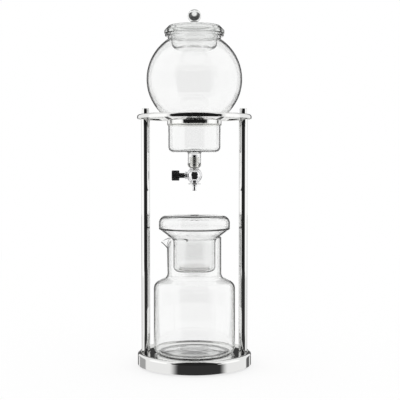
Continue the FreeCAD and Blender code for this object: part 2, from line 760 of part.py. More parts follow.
def make_nozzle():
    spigot_top = f"({valve_bottom} + nozzle_spigot)"
    flange_bottom = f"({nozzle_top} - nozzle_flange)"
    hub_bottom = f"({flange_bottom} - hub_height)"
    tip = f"({hub_bottom} - drip_length)"
    turned("nozzle", [
        ("drip_bore", tip),
        ("drip_tip_radius", tip, "drip_tip_height / 3"),
        ("drip_tip_radius", f"{tip} + drip_tip_height"),
        ("drip_radius", f"{tip} + 2 * drip_tip_height"),
        ("drip_radius", hub_bottom),
        ("hub_radius", hub_bottom, "rod_edge"),
        ("hub_radius", flange_bottom),
        ("nozzle_flange_radius", flange_bottom, "nozzle_flange / 3"),
        ("nozzle_flange_radius", nozzle_top, "nozzle_flange / 3"),
        ("nozzle_spigot_radius", nozzle_top),
        ("nozzle_spigot_radius", spigot_top),
        ("drip_bore", spigot_top),
    ])
    turned("nozzle_seal", [
        ("nozzle_spigot_radius + stem_clearance", nozzle_top),
        ("valve_end_radius - rod_edge", nozzle_top),
        ("valve_end_radius - rod_edge", valve_bottom),
        ("nozzle_spigot_radius + stem_clearance", valve_bottom),
    ])


# One level section of the spout: a V with a rounded tip towards minus X and a straight back.
def spout_sketch(body, height, reach, back):
    sketch = new_sketch(body, "XY_Plane", "0", height)
    tip = f"(carafe_neck_radius + {reach})"
    half_width = f"(({tip} - {back}) * spout_spread)"
    draw_outline(sketch, [
        (f"-{back}", half_width),
        (f"-{tip}", "0", "spout_tip_round"),
        (f"-{back}", f"-{half_width}"),
    ])
    return sketch


def add_spout_loft(body, kind, inset):
    root = f"({carafe_top} - spout_drop - spout_depth)"
    slope = "(spout_reach / spout_depth)"
    low = spout_sketch(body, root, f"(spout_nib - {inset})", "spout_back")
    high = spout_sketch(body, carafe_top, f"(spout_nib - {inset} + {slope} * (spout_drop + spout_depth))",
                        "spout_back")
    add_feature(body, kind, low, Sections=[high], Ruled=True)


# The carafe is turned, and its spout is drawn out of the neck as a V that widens upwards. A slanted
# cut gives the spout's lip its droop.
def make_carafe():
    foot = carafe_bottom
    shoulder_low = "(base_floor_height + carafe_body_height)"
    inner = "(carafe_radius - carafe_wall)"
    inner_neck = "(carafe_neck_radius - carafe_wall)"
    carafe = turned("carafe", [
        ("0", f"{foot} + punt_height"),
        ("punt_radius", f"{foot} + punt_height", "punt_round"),
        ("punt_foot_radius", foot, "punt_round"),
        ("carafe_radius", foot, "carafe_corner"),
        ("carafe_radius", shoulder_low, "carafe_shoulder_round"),
        ("carafe_neck_radius", carafe_shoulder, "carafe_neck_round"),
        ("carafe_neck_radius", carafe_top),
        ("0", carafe_top),
    ])
    add_spout_loft(carafe, "AdditiveLoft", "0")
    cut = new_sketch(carafe, "XZ_Plane")
    lip_start = "(carafe_neck_radius + spout_nib)"
    lip_fall = "(spout_drop / (spout_reach - spout_nib))"
    far = "(carafe_neck_radius + 3 * spout_reach)"
    draw_outline(cut, [
        (f"-{lip_start}", carafe_top),
        (f"-{far}", f"{carafe_top} - {lip_fall} * ({far} - {lip_start})"),
        (f"-{far}", f"{carafe_top} + spout_drop"),
        (f"-{lip_start}", f"{carafe_top} + spout_drop"),
    ])
    add_feature(carafe, "Pocket", cut, Length="4 * carafe_neck_radius", Midplane=True)
    turn_outline(carafe, "Groove", [
        ("0", f"{foot} + punt_height + carafe_wall"),
        ("punt_radius", f"{foot} + punt_height + carafe_wall", "punt_round"),
        ("punt_foot_radius", f"{foot} + carafe_wall", "punt_round"),
        (inner, f"{foot} + carafe_wall", "carafe_corner - carafe_wall"),
        (inner, f"{shoulder_low} - carafe_wall / 3", "carafe_shoulder_round - carafe_wall"),
        (inner_neck, f"{carafe_shoulder} - carafe_wall / 3", "carafe_neck_round + carafe_wall"),
        (inner_neck, carafe_top),
        ("0", carafe_top),
    ])
    add_spout_loft(carafe, "SubtractiveLoft", "carafe_wall * sqrt(1 + 1 / spout_spread ^ 2)")


# The chamber's flare rests on the inner edge of the carafe's rim, a small clearance off it.
def make_coffee_chamber():
    inner = "(chamber_radius - chamber_wall)"
    taper = "((filter_radius - filter_bottom_radius) / filter_height)"
    outlet = "(filter_bottom_radius + gasket_wall + 2 * stem_clearance)"
    inner_flare = f"({chamber_waist} + chamber_wall * {flare_slant})"
    wall_fall = f"(chamber_wall * {flare_slope})"
    turned("coffee_chamber", [
        (outlet, chamber_bottom),
        ("chamber_radius", chamber_bottom, "chamber_corner"),
        ("chamber_radius", chamber_waist, "chamber_waist_round"),
        ("chamber_top_radius", f"{chamber_top} - chamber_rim", "chamber_rim"),
        ("chamber_top_radius", chamber_top, "chamber_wall / 4"),
        ("chamber_top_radius - chamber_wall", chamber_top),
        ("chamber_top_radius - chamber_wall", f"{inner_flare} + chamber_flare_rise - {wall_fall}"),
        (inner, f"{inner_flare} - {wall_fall}", "chamber_waist_round - chamber_wall"),
        (inner, f"{chamber_bottom} + chamber_wall", "chamber_corner - chamber_wall"),
        (f"{outlet} + {taper} * chamber_wall", f"{chamber_bottom} + chamber_wall"),
    ])
    filter_top = f"({chamber_bottom} + filter_height)"
    turned("ceramic_filter", [
        ("0", chamber_bottom),
        ("filter_bottom_radius", chamber_bottom, "rod_edge"),
        ("filter_radius", filter_top, "rod_edge"),
        ("0", filter_top),
    ])
    lip = f"({chamber_bottom} + chamber_wall)"
    sleeve = "(filter_bottom_radius + stem_clearance)"
    turned("filter_gasket", [
        (sleeve, chamber_bottom),
        (f"{sleeve} + gasket_wall", chamber_bottom),
        (f"{sleeve} + gasket_wall + {taper} * chamber_wall", lip),
        (f"{sleeve} + gasket_lip", lip),
        (f"{sleeve} + gasket_lip", f"{lip} + gasket_wall / 2", "gasket_wall / 6"),
        (f"{sleeve} + {taper} * (chamber_wall + gasket_wall / 2)", f"{lip} + gasket_wall / 2"),
    ])


# The chamber's lid has a dimpled drip hole that leads the drops to the middle of the coffee.
def make_chamber_lid():
    foot = f"({chamber_top} + seat_clearance)"
    crown = f"({foot} + chamber_lid_crown)"
    shoulder = f"({crown} - chamber_lid_dome)"
    inner = "(chamber_top_radius - chamber_wall)"
    turned("chamber_lid", [
        (inner, foot, "chamber_wall / 3"),
        ("chamber_top_radius", foot, "chamber_wall / 3"),
        ("chamber_top_radius", shoulder, "chamber_lid_round"),
        ("drip_dimple_radius", crown, "glass_round"),
        ("drip_hole_radius", f"{crown} - drip_dimple_depth", "chamber_wall / 4"),
        ("drip_hole_radius", f"{crown} - drip_dimple_depth - chamber_wall", "chamber_wall / 4"),
        ("drip_dimple_radius", f"{crown} - chamber_wall", "glass_round - chamber_wall / 2"),
        (inner, f"{shoulder} - chamber_wall", "chamber_lid_round - chamber_wall"),
    ])


make_base_shell()
make_ballast_plate()
make_rubber_feet()
make_plate_screws()
make_rod_fixings()
make_rod("left", "-rod_offset")
make_rod("right", "rod_offset")
make_top_ring()
make_water_globe()
make_reservoir_lid()
make_silicone_stopper()
make_valve_body()
make_gland_and_needle()
make_knob()
make_nozzle()
make_carafe()
make_coffee_chamber()
make_chamber_lid()
doc.recompute()

# Every feature and piece has to be sound before anything is written.
for item in doc.Objects:
    if "Invalid" in item.State or "Error" in item.State:
        raise RuntimeError(f"{item.Name} failed: {item.State}")
pieces = [item for item in doc.Objects if item.TypeId == "PartDesign::Body"]
for piece in pieces:
    if piece.Shape.isNull() or not piece.Shape.isValid():
        raise RuntimeError(f"{piece.Label} has no sound shape")
for piece in pieces:
    piece.Shape.exportStep(f"parts/{piece.Label}.step")
print(f"{len(pieces)} pieces written")
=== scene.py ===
import bmesh
import bpy
import math
import numpy as np
from mathutils import Matrix, Vector


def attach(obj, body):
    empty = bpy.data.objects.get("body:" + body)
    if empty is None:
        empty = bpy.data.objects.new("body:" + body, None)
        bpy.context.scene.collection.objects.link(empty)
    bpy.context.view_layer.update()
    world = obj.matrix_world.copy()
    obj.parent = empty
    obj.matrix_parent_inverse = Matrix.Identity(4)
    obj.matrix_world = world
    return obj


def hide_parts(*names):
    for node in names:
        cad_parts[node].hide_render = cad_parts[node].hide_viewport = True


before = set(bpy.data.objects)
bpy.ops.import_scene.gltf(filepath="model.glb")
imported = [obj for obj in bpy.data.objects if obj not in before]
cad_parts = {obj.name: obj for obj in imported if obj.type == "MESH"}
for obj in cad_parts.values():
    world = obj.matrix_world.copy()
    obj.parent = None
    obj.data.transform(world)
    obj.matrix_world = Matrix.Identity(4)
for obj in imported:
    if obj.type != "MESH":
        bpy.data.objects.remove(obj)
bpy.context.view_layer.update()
scene = bpy.context.scene
print("frame loaded")

# The camera stands in front of the tower at the height of the globe's nipple, and looks slightly down.
# Lengths are in metres and angles in degrees, but the lens and the sensor are in millimetres.
cameraView = {
    "distance": 1.314,
    "height": 0.286,
    "lens": 84.24,
    "sensor": 36,
    "clipEnd": 50,
    "pitchDown": 2.34,
    "turnRight": 0.343,
}


def placeCamera(view):
    cameraData = bpy.data.cameras.new("towerCamera")
    cameraData.lens = view["lens"]
    cameraData.sensor_width = view["sensor"]
    cameraData.clip_end = view["clipEnd"]
    camera = bpy.data.objects.new("towerCamera", cameraData)
    tilt = Matrix.Rotation(math.radians(90 - view["pitchDown"]), 4, "X")
    turn = Matrix.Rotation(math.radians(-view["turnRight"]), 4, "Z")
    place = Matrix.Translation(Vector((0, -view["distance"], view["height"])))
    camera.matrix_world = place @ turn @ tilt
    scene.collection.objects.link(camera)
    scene.camera = camera


placeCamera(cameraView)
scene.view_settings.view_transform = "Standard"

# The room: a white surround, and a table with a faint glow of its own.
studioLight = {
    "surround": 1.0,
    "floorSize": 3.0,
    "floorColour": (0.3, 0.3, 0.3, 1),
    "floorLift": 0.7,
}


def buildWorld(light):
    world = bpy.data.worlds.new("studioWorld")
    world.use_nodes = True
    background = world.node_tree.nodes["Background"]
    background.inputs["Color"].default_value = (1, 1, 1, 1)
    background.inputs["Strength"].default_value = light["surround"]
    scene.world = world


buildWorld(studioLight)


# Material helpers. Every finish is made of nodes on the piece's own coordinates.
def newMaterial(name):
    material = bpy.data.materials.new(name)
    material.use_nodes = True
    return material, material.node_tree, material.node_tree.nodes["Principled BSDF"]


def mathNode(tree, operation, first, second):
    node = tree.nodes.new("ShaderNodeMath")
    node.operation = operation
    for place, value in enumerate((first, second)):
        if isinstance(value, (int, float)):
            node.inputs[place].default_value = value
        else:
            tree.links.new(value, node.inputs[place])
    return node.outputs["Value"]


def addNoise(tree, scale, detail, stretch=(1, 1, 1)):
    place = tree.nodes.new("ShaderNodeTexCoord")
    mapping = tree.nodes.new("ShaderNodeMapping")
    mapping.inputs["Scale"].default_value = stretch
    noise = tree.nodes.new("ShaderNodeTexNoise")
    noise.inputs["Scale"].default_value = scale
    noise.inputs["Detail"].default_value = detail
    tree.links.new(place.outputs["Object"], mapping.inputs["Vector"])
    tree.links.new(mapping.outputs["Vector"], noise.inputs["Vector"])
    return noise.outputs["Fac"]


def spreadRoughness(tree, shader, source, limits):
    spread = tree.nodes.new("ShaderNodeMapRange")
    spread.inputs["To Min"].default_value = limits[0]
    spread.inputs["To Max"].default_value = limits[1]
    tree.links.new(source, spread.inputs["Value"])
    tree.links.new(spread.outputs["Result"], shader.inputs["Roughness"])


def addBump(tree, shader, height, strength, distance):
    bump = tree.nodes.new("ShaderNodeBump")
    bump.inputs["Strength"].default_value = strength
    bump.inputs["Distance"].default_value = distance
    tree.links.new(height, bump.inputs["Height"])
    tree.links.new(bump.outputs["Normal"], shader.inputs["Normal"])


# What all finishes of a kind share. Scales are in waves per metre, and depths in metres.
steelSurface = {
    "marks": {"scale": 60, "detail": 5, "stretch": (1, 1, 0.2)},
    "ripples": {"scale": 35, "detail": 2},
    "depth": 0.0004,
}
glassSurface = {
    "index": 1.47,
    "waves": {"scale": 18, "detail": 1, "stretch": (1, 1, 0.35)},
    "strength": 0.12,
    "depth": 0.0006,
}
siliconeSurface = {
    "colour": (0.96, 0.96, 0.93, 1),
    "clearness": 0.97,
    "index": 1.41,
    "cloud": {"scale": 220, "detail": 4},
    "rough": (0.02, 0.08),
}
mouldedSurface = {
    "detail": 4,
    "brighter": 1.35,
    "lift": 0.004,
    "depth": 0.0002,
}


# Mirror steel with faint wiping marks: the roughness drifts a little over the surface.
def makePolishedSteel(name, colour, rough, ripple, surface=steelSurface):
    material, tree, shader = newMaterial(name)
    shader.inputs["Base Color"].default_value = colour
    shader.inputs["Metallic"].default_value = 1
    spreadRoughness(tree, shader, addNoise(tree, **surface["marks"]), rough)
    addBump(tree, shader, addNoise(tree, **surface["ripples"]), ripple, surface["depth"])
    return material


# Clear glass that swallows a little light on a long way through its wall, so that its outlines darken.
def makeGlass(name, tint, density, surface=glassSurface):
    material, tree, shader = newMaterial(name)
    shader.inputs["Base Color"].default_value = (1, 1, 1, 1)
    shader.inputs["Roughness"].default_value = 0
    shader.inputs["IOR"].default_value = surface["index"]
    shader.inputs["Transmission Weight"].default_value = 1
    addBump(tree, shader, addNoise(tree, **surface["waves"]), surface["strength"], surface["depth"])
    inside = tree.nodes.new("ShaderNodeVolumeAbsorption")
    inside.inputs["Color"].default_value = tint
    inside.inputs["Density"].default_value = density
    tree.links.new(inside.outputs["Volume"], tree.nodes["Material Output"].inputs["Volume"])
    return material


def makeSilicone(name, surface=siliconeSurface):
    material, tree, shader = newMaterial(name)
    shader.inputs["Base Color"].default_value = surface["colour"]
    shader.inputs["Transmission Weight"].default_value = surface["clearness"]
    shader.inputs["IOR"].default_value = surface["index"]
    spreadRoughness(tree, shader, addNoise(tree, **surface["cloud"]), surface["rough"])
    return material


# Plastic, rubber, cast iron and ceramic: one cloud spots the colour, the roughness and the grain.
def makeMoulded(name, colour, rough, grain, relief, surface=mouldedSurface):
    material, tree, shader = newMaterial(name)
    cloud = addNoise(tree, grain, surface["detail"])
    bright = [min(1, part * surface["brighter"] + surface["lift"]) for part in colour[:3]]
    mix = tree.nodes.new("ShaderNodeMix")
    mix.data_type = "RGBA"
    mix.inputs["A"].default_value = colour
    mix.inputs["B"].default_value = (*bright, 1)
    tree.links.new(cloud, mix.inputs["Factor"])
    tree.links.new(mix.outputs["Result"], shader.inputs["Base Color"])
    spreadRoughness(tree, shader, cloud, rough)
    addBump(tree, shader, cloud, relief, surface["depth"])
    return material


polishedSteel = makePolishedSteel("polishedSteel", (0.80, 0.80, 0.79, 1), rough=(0.02, 0.06), ripple=0.03)
rodSteel = makePolishedSteel("rodSteel", (0.82, 0.82, 0.81, 1), rough=(0.03, 0.06), ripple=0.003)
valveChrome = makePolishedSteel("valveChrome", (0.86, 0.86, 0.87, 1), rough=(0.015, 0.05), ripple=0.02)
plainSteel = makePolishedSteel("plainSteel", (0.55, 0.55, 0.54, 1), rough=(0.25, 0.4), ripple=0.1)
clearGlass = makeGlass("clearGlass", tint=(0.80, 0.82, 0.80, 1), density=36)
clearSilicone = makeSilicone("clearSilicone")
knobPlastic = makeMoulded("knobPlastic", (0.012, 0.012, 0.012, 1), rough=(0.35, 0.55), grain=900, relief=0.25)
footRubber = makeMoulded("footRubber", (0.02, 0.02, 0.02, 1), rough=(0.6, 0.8), grain=600, relief=0.4)
plateIron = makeMoulded("plateIron", (0.03, 0.03, 0.03, 1), rough=(0.45, 0.65), grain=300, relief=0.5)
sealPlastic = makeMoulded("sealPlastic", (0.8, 0.8, 0.79, 1), rough=(0.4, 0.5), grain=500, relief=0.1)
filterCeramic = makeMoulded("filterCeramic", (0.93, 0.92, 0.90, 1), rough=(0.55, 0.75), grain=700, relief=0.5)
print("finishes made")

# How outlines become meshes. Guard and long run are in millimetres, merge in metres, sharp in degrees.
meshing = {
    "guard": 0.25,
    "longRun": 1.5,
    "merge": 2e-6,
    "sharp": 38,
    "metres": 0.001,
}


# Outlines are lists in millimetres. An entry is a corner (radius, height), a corner with its rounding
# (radius, height, rounding), or an array of points, such as part of a circle centred on the axis.
def circlePart(centreHeight, size, startDegrees, endDegrees, count):
    turn = np.radians(np.linspace(startDegrees, endDegrees, count))
    return np.column_stack([size * np.cos(turn), centreHeight + size * np.sin(turn)])


# The angle above the level at which a circle on the axis has a given radius.
def ballAngle(radius, size):
    return math.degrees(math.acos(radius / size))


# A rounding is the circle that touches both edges: its centre lies on the halving line of the corner,
# and its points are spread evenly between the two touching points.
def roundCorner(before, corner, after, steps):
    spot = np.array(corner[:2], float)
    back = (before - spot) / np.linalg.norm(before - spot)
    ahead = (after - spot) / np.linalg.norm(after - spot)
    half = np.arccos(np.clip(back @ ahead, -1, 1)) / 2
    enter = spot + back * corner[2] / np.tan(half)
    leave = spot + ahead * corner[2] / np.tan(half)
    halving = (back + ahead) / np.linalg.norm(back + ahead)
    centre = spot + halving * corner[2] / np.sin(half)
    start = np.arctan2(*(enter - centre)[::-1])
    swing = (np.arctan2(*(leave - centre)[::-1]) - start + np.pi) % (2 * np.pi) - np.pi
    turn = start + swing * np.linspace(0, 1, steps)
    return centre + corner[2] * np.column_stack([np.cos(turn), np.sin(turn)])


def traceOutline(entries, steps):
    ends = [np.atleast_2d(np.array(entry, float))[:, :2] for entry in entries]
    runs = []
    for index, entry in enumerate(entries):
        if isinstance(entry, tuple) and len(entry) == 3:
            before, after = ends[index - 1][-1], ends[(index + 1) % len(ends)][0]
            runs.append(roundCorner(before, entry, after, steps))
        else:
            runs.append(ends[index])
    return np.concatenate(runs)


# Long straight runs get a point close to each end, which keeps the shading of the run level.
def guardRuns(points, closed):
    guard = meshing["guard"]
    ahead = np.roll(points, -1, axis=0)
    length = np.linalg.norm(ahead - points, axis=1)
    if not closed:
        length[-1] = 0
    share = np.where(length > meshing["longRun"], guard / np.maximum(length, guard), np.nan)[:, None]
    near = points + (ahead - points) * share
    far = ahead - (ahead - points) * share
    woven = np.stack([points, near, far], axis=1).reshape(-1, 2)
    return woven[~np.isnan(woven[:, 0])]


# The inner skin is the one that doesn't reach the piece's greatest distance from the axis.
def flipInnerSkin(work):
    work.verts.ensure_lookup_table()
    widest = max(work.verts, key=lambda corner: corner.co.x ** 2 + corner.co.y ** 2)
    outer = {widest}
    edge = [widest]
    while edge:
        reached = {link.other_vert(corner) for corner in edge for link in corner.link_edges} - outer
        outer |= reached
        edge = list(reached)
    inner = [face for face in work.faces if face.verts[0] not in outer]
    bmesh.ops.reverse_faces(work, faces=inner)


# Every skin is turned to face outwards from the wall that it bounds, so an inner skin is turned round.
def buildMesh(name, corners, faces, hollow):
    mesh = bpy.data.meshes.new(name)
    mesh.from_pydata(corners.tolist(), [], faces.tolist())
    work = bmesh.new()
    work.from_mesh(mesh)
    bmesh.ops.remove_doubles(work, verts=work.verts, dist=meshing["merge"])
    bmesh.ops.recalc_face_normals(work, faces=work.faces)
    if hollow:
        flipInnerSkin(work)
    work.to_mesh(mesh)
    work.free()
    mesh.shade_smooth()
    mesh.set_sharp_from_angle(angle=math.radians(meshing["sharp"]))
    return mesh


# Light falls freely through glass on what stands behind it: a clear piece throws no shadow, and the light
# that a dull surface gathers doesn't meet it.
def finishPiece(name, mesh, material, body, nodes):
    piece = bpy.data.objects.new(name, mesh)
    scene.collection.objects.link(piece)
    mesh.materials.append(material)
    piece.visible_shadow = piece.visible_diffuse = material not in (clearGlass, clearSilicone)
    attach(piece, body)
    if nodes:
        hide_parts(*nodes)


# The faces between rows of corners that run round an axis, each row closing on itself.
def ringFaces(rows, around, count):
    below = rows[:, None] * around
    above = ((rows + 1) % count)[:, None] * around
    columns = np.arange(around)[None, :]
    beside = (columns + 1) % around
    faces = np.stack([below + columns, below + beside, above + beside, above + columns], axis=-1)
    return faces.reshape(-1, 4)


# Turning: point (r, z) of the outline goes to (r cos a, r sin a, z) for every angle a. A shape function
# may change the radii and heights before they become corners.
def turnOutline(entries, around, closed, shape, steps):
    outline = guardRuns(traceOutline(entries, steps), closed)
    count = len(outline)
    angle = np.repeat(np.linspace(0, 2 * np.pi, around, endpoint=False)[None, :], count, axis=0)
    radius = np.repeat(outline[:, :1], around, axis=1)
    height = np.repeat(outline[:, 1:], around, axis=1)
    if shape:
        radius, height = shape(radius, height, angle)
    corners = np.stack([radius * np.cos(angle), radius * np.sin(angle), height], axis=-1)
    rows = np.arange(count if closed else count - 1)
    return corners.reshape(-1, 3), ringFaces(rows, around, count)


# An outline whose ends lie on the axis is open, and its two poles are merged. A piece that is closed all
# round and blown hollow has a second outline, for its inner skin. A lay function places the mesh.
def turnPiece(name, entries, material, body, nodes, around, closed=True, shape=None, lay=None, steps=8,
              hollow=None):
    corners, faces = turnOutline(entries, around, closed, shape, steps)
    if hollow:
        inner, innerFaces = turnOutline(hollow, around, closed, shape, steps)
        faces = np.concatenate([faces, innerFaces + len(corners)])
        corners = np.concatenate([corners, inner])
    if lay:
        corners = lay(corners)
    mesh = buildMesh(name, corners * meshing["metres"], faces, bool(hollow))
    finishPiece(name, mesh, material, body, nodes)


def sideways(distance):
    return lambda corners: corners + np.array([distance, 0, 0])


# Lays a piece that was turned upright along minus X, so that its height becomes the way outwards.
def onValveAxis(corners):
    return np.column_stack([-corners[:, 2], corners[:, 1], corners[:, 0] + valve["centre"]])


# Base dish: rim, rounded shoulder and the mirror floor that the carafe stands on.
base = {
    "radius": 80.0,
    "bottom": 1.8,
    "rim": 19.5,
    "rimWidth": 5.0,
    "floor": 17.0,
    "sheet": 1.5,
    "shoulder": 4.5,
    "rimEdge": 0.45,
    "floorCorner": 1.0,
    "underCorner": 1.8,
    "hem": 0.7,
    "hemInside": 0.5,
}


def makeBase(size):
    inner = size["radius"] - size["rimWidth"]
    wall = size["radius"] - size["sheet"]
    under = size["floor"] - size["sheet"]
    turnPiece("baseDish", [
        (0, under),
        (wall, under, size["underCorner"]),
        (wall, size["bottom"], size["hemInside"]),
        (size["radius"], size["bottom"], size["hem"]),
        (size["radius"], size["rim"], size["shoulder"]),
        (inner, size["rim"], size["rimEdge"]),
        (inner, size["floor"], size["floorCorner"]),
        (0, size["floor"]),
    ], polishedSteel, "stand", ["base_shell"], around=256, closed=False, steps=12)


makeBase(base)

# Rods, and the nuts that hold the ring down on them.
rods = {
    "spacing": 137.0,
    "radius": 6.0,
    "top": 350.7,
    "edge": 0.6,
    "nutRadius": 5.0,
    "nutFoot": 351.7,
    "nutHeight": 9.0,
    "nutEdge": 0.5,
    "nutDome": 0.9,
}


def makeRod(side, size, floor):
    place = sideways(size["spacing"] / 2 * (-1 if side == "left" else 1))
    turnPiece(side + "Rod", [
        (0, floor),
        (size["radius"], floor, size["edge"]),
        (size["radius"], size["top"], size["edge"]),
        (0, size["top"]),
    ], rodSteel, "stand", [side + "_rod"], around=96, closed=False, lay=place)
    crown = size["nutFoot"] + size["nutHeight"]
    turnPiece(side + "Finial", [
        (0, size["nutFoot"]),
        (size["nutRadius"], size["nutFoot"], size["nutEdge"]),
        (size["nutRadius"], crown, size["nutDome"]),
        (0, crown),
    ], rodSteel, "stand", [side + "_finial_nut"], around=96, closed=False, lay=place, steps=12)


makeRod("left", rods, base["floor"])
makeRod("right", rods, base["floor"])

# Top ring: a turned-down skirt outside, and a ball-shaped seat for the globe that ends in a lip. The seat
# follows the globe's ball, so the globe's sizes stand here too.
ring = {
    "radius": 80.0,
    "top": 351.7,
    "sheet": 1.0,
    "skirt": 6.0,
    "edge": 3.0,
    "hem": 0.3,
    "flare": 14.0,
    "flareRun": 3.4,
    "seatPoints": 10,
    "lipRadius": 36.9,
    "lipBottom": 338.4,
    "seatGap": 0.4,
    "gasketHeight": 1.8,
    "gasketWidth": 1.1,
    "gasketGap": 0.02,
    "gasketEdges": (0.3, 0.4, 0.2),
}
globe = {
    "radius": 66.7,
    "centre": 401.017,
    "wall": 2.2,
    "neckRadius": 37.0,
    "neckHeight": 3.8,
    "neckBend": 1.8,
    "lipRadius": 41.0,
    "lipThickness": 3.6,
    "lipFlat": 0.2,
    "lipCorner": 0.8,
    "mouthEdge": 0.9,
    "bendRun": 2.7,
    "ballPoints": 72,
    "waistBend": 1.6,
    "sumpRadius": 36.5,
    "sumpBottom": 299.3,
    "sumpCorner": 7.0,
    "nippleRadius": 9.3,
    "nippleBottom": 283.7,
    "nippleEdge": 0.6,
    "nippleBend": 2.0,
    "nippleMouth": 1.2,
}


def makeRing(size, ball):
    seat = ball["radius"] + size["seatGap"]
    under = seat + size["sheet"]
    lip = size["lipRadius"]
    lipOut = lip + size["sheet"]
    skirtIn = size["radius"] - size["sheet"]
    skirtFoot = size["top"] - size["skirt"]
    plateUnder = size["top"] - size["sheet"]
    seatRise = size["top"] - ball["centre"]
    mouth = math.sqrt(seat ** 2 - seatRise ** 2)
    underMouth = math.sqrt(under ** 2 - (seatRise - size["sheet"]) ** 2)
    underArc = circlePart(ball["centre"], under, -ballAngle(lipOut, under),
                          -ballAngle(underMouth - size["flareRun"], under), size["seatPoints"])
    seatArc = circlePart(ball["centre"], seat, -ballAngle(mouth - size["flareRun"], seat),
                         -ballAngle(lip, seat), size["seatPoints"])
    turnPiece("topRing", [
        (lip, size["lipBottom"], size["hem"]),
        (lipOut, size["lipBottom"], size["hem"]),
        underArc,
        (underMouth, plateUnder, size["flare"] - size["sheet"]),
        (skirtIn, plateUnder, size["edge"] - size["sheet"]),
        (skirtIn, skirtFoot, size["hem"]),
        (size["radius"], skirtFoot, size["hem"]),
        (size["radius"], size["top"], size["edge"]),
        (mouth, size["top"], size["flare"]),
        seatArc,
    ], polishedSteel, "stand", ["top_ring"], around=256, steps=10)
    gasketFoot = size["lipBottom"] - size["gasketHeight"]
    gasketTop = size["lipBottom"] - size["gasketGap"]
    outside = lip + size["gasketWidth"]
    footIn, footOut, top = size["gasketEdges"]
    turnPiece("collarGasket", [
        (lip, gasketFoot, footIn),
        (outside, gasketFoot, footOut),
        (outside, gasketTop, top),
        (lip, gasketTop, top),
    ], clearSilicone, "stand", ["collar_gasket"], around=192, steps=5)


makeRing(ring, globe)
print("stand made")


# Water globe: a blown ball that narrows into a rolled lip above and a straight sump with a nipple below.
def makeGlobe(size):
    ball = size["radius"]
    hollow = ball - size["wall"]
    neck = size["neckRadius"]
    neckIn = neck - size["wall"]
    sump = size["sumpRadius"]
    sumpIn = sump - size["wall"]
    nipple = size["nippleRadius"]
    nippleIn = nipple - size["wall"]
    floor = size["sumpBottom"] + size["wall"]
    bend = size["bendRun"]
    waist = size["centre"] - math.sqrt(ball ** 2 - sump ** 2)
    shoulder = size["centre"] + math.sqrt(ball ** 2 - neck ** 2)
    waistIn = size["centre"] - math.sqrt(hollow ** 2 - sumpIn ** 2)
    shoulderIn = size["centre"] + math.sqrt(hollow ** 2 - neckIn ** 2)
    lipFoot = shoulder + size["neckHeight"]
    lipTop = lipFoot + size["lipThickness"]
    roll = (size["lipThickness"] - size["lipFlat"]) / 2
    outer = circlePart(size["centre"], ball, -ballAngle(sump + bend, ball), ballAngle(neck + bend, ball),
                       size["ballPoints"])
    inner = circlePart(size["centre"], hollow, ballAngle(neckIn + bend, hollow),
                       -ballAngle(sumpIn + bend, hollow), size["ballPoints"])
    turnPiece("waterGlobe", [
        (nippleIn, size["nippleBottom"], size["nippleEdge"]),
        (nipple, size["nippleBottom"], size["nippleEdge"]),
        (nipple, size["sumpBottom"], size["nippleBend"]),
        (sump, size["sumpBottom"], size["sumpCorner"]),
        (sump, waist, size["waistBend"]),
        outer,
        (neck, shoulder, size["neckBend"]),
        (neck, lipFoot, size["lipCorner"]),
        (size["lipRadius"], lipFoot, roll),
        (size["lipRadius"], lipTop, roll),
        (neckIn, lipTop, size["mouthEdge"]),
        (neckIn, shoulderIn, size["neckBend"]),
        inner,
        (sumpIn, waistIn, size["waistBend"]),
        (sumpIn, floor, size["sumpCorner"] - size["wall"]),
        (nippleIn, floor, size["nippleMouth"]),
    ], clearGlass, "reservoir", ["water_globe"], around=164, steps=9)


makeGlobe(globe)

# Lid of the globe: a hollow stopper of blown glass with a solid ball for a handle.
globeLid = {
    "bottom": 464.2,
    "flangeRadius": 41.8,
    "flangeEdge": 4.4,
    "flangeTop": 2.0,
    "shoulderRadius": 35.5,
    "shoulderHeight": 475.4,
    "shoulderRound": 6.0,
    "crown": 478.8,
    "stalkRadius": 5.0,
    "stalkTop": 481.2,
    "stalkBend": 1.6,
    "ballRadius": 9.2,
    "ballBend": 0.8,
    "ballRun": 0.6,
    "ballPoints": 40,
    "plugRadius": 33.2,
    "plugFootRadius": 31.2,
    "plugBottom": 442.7,
    "plugCorner": 9.0,
    "plugEdge": 0.8,
    "hollowCorner": 3.4,
    "wall": 2.2,
}


def makeGlobeLid(size):
    wall = size["wall"]
    stalk = size["stalkRadius"]
    grip = size["ballRadius"]
    centre = size["stalkTop"] + math.sqrt(grip ** 2 - stalk ** 2)
    turnPiece("globeLid", [
        (0, size["plugBottom"]),
        (size["plugFootRadius"], size["plugBottom"], size["plugCorner"]),
        (size["plugRadius"], size["bottom"], size["plugEdge"]),
        (size["flangeRadius"], size["bottom"], size["plugEdge"]),
        (size["flangeRadius"], size["bottom"] + size["flangeEdge"], size["flangeTop"]),
        (size["shoulderRadius"], size["shoulderHeight"], size["shoulderRound"]),
        (stalk, size["crown"], size["stalkBend"]),
        (stalk, size["stalkTop"], size["ballBend"]),
        circlePart(centre, grip, -ballAngle(stalk + size["ballRun"], grip), 90, size["ballPoints"]),
    ], clearGlass, "globe_lid", ["reservoir_lid"], around=192, closed=False, steps=9, hollow=[
        (0, size["crown"] - wall),
        (size["plugRadius"] - wall, size["shoulderHeight"] - wall, size["hollowCorner"]),
        (size["plugFootRadius"] - wall, size["plugBottom"] + wall, size["plugCorner"] - wall),
        (0, size["plugBottom"] + wall),
    ])


makeGlobeLid(globeLid)

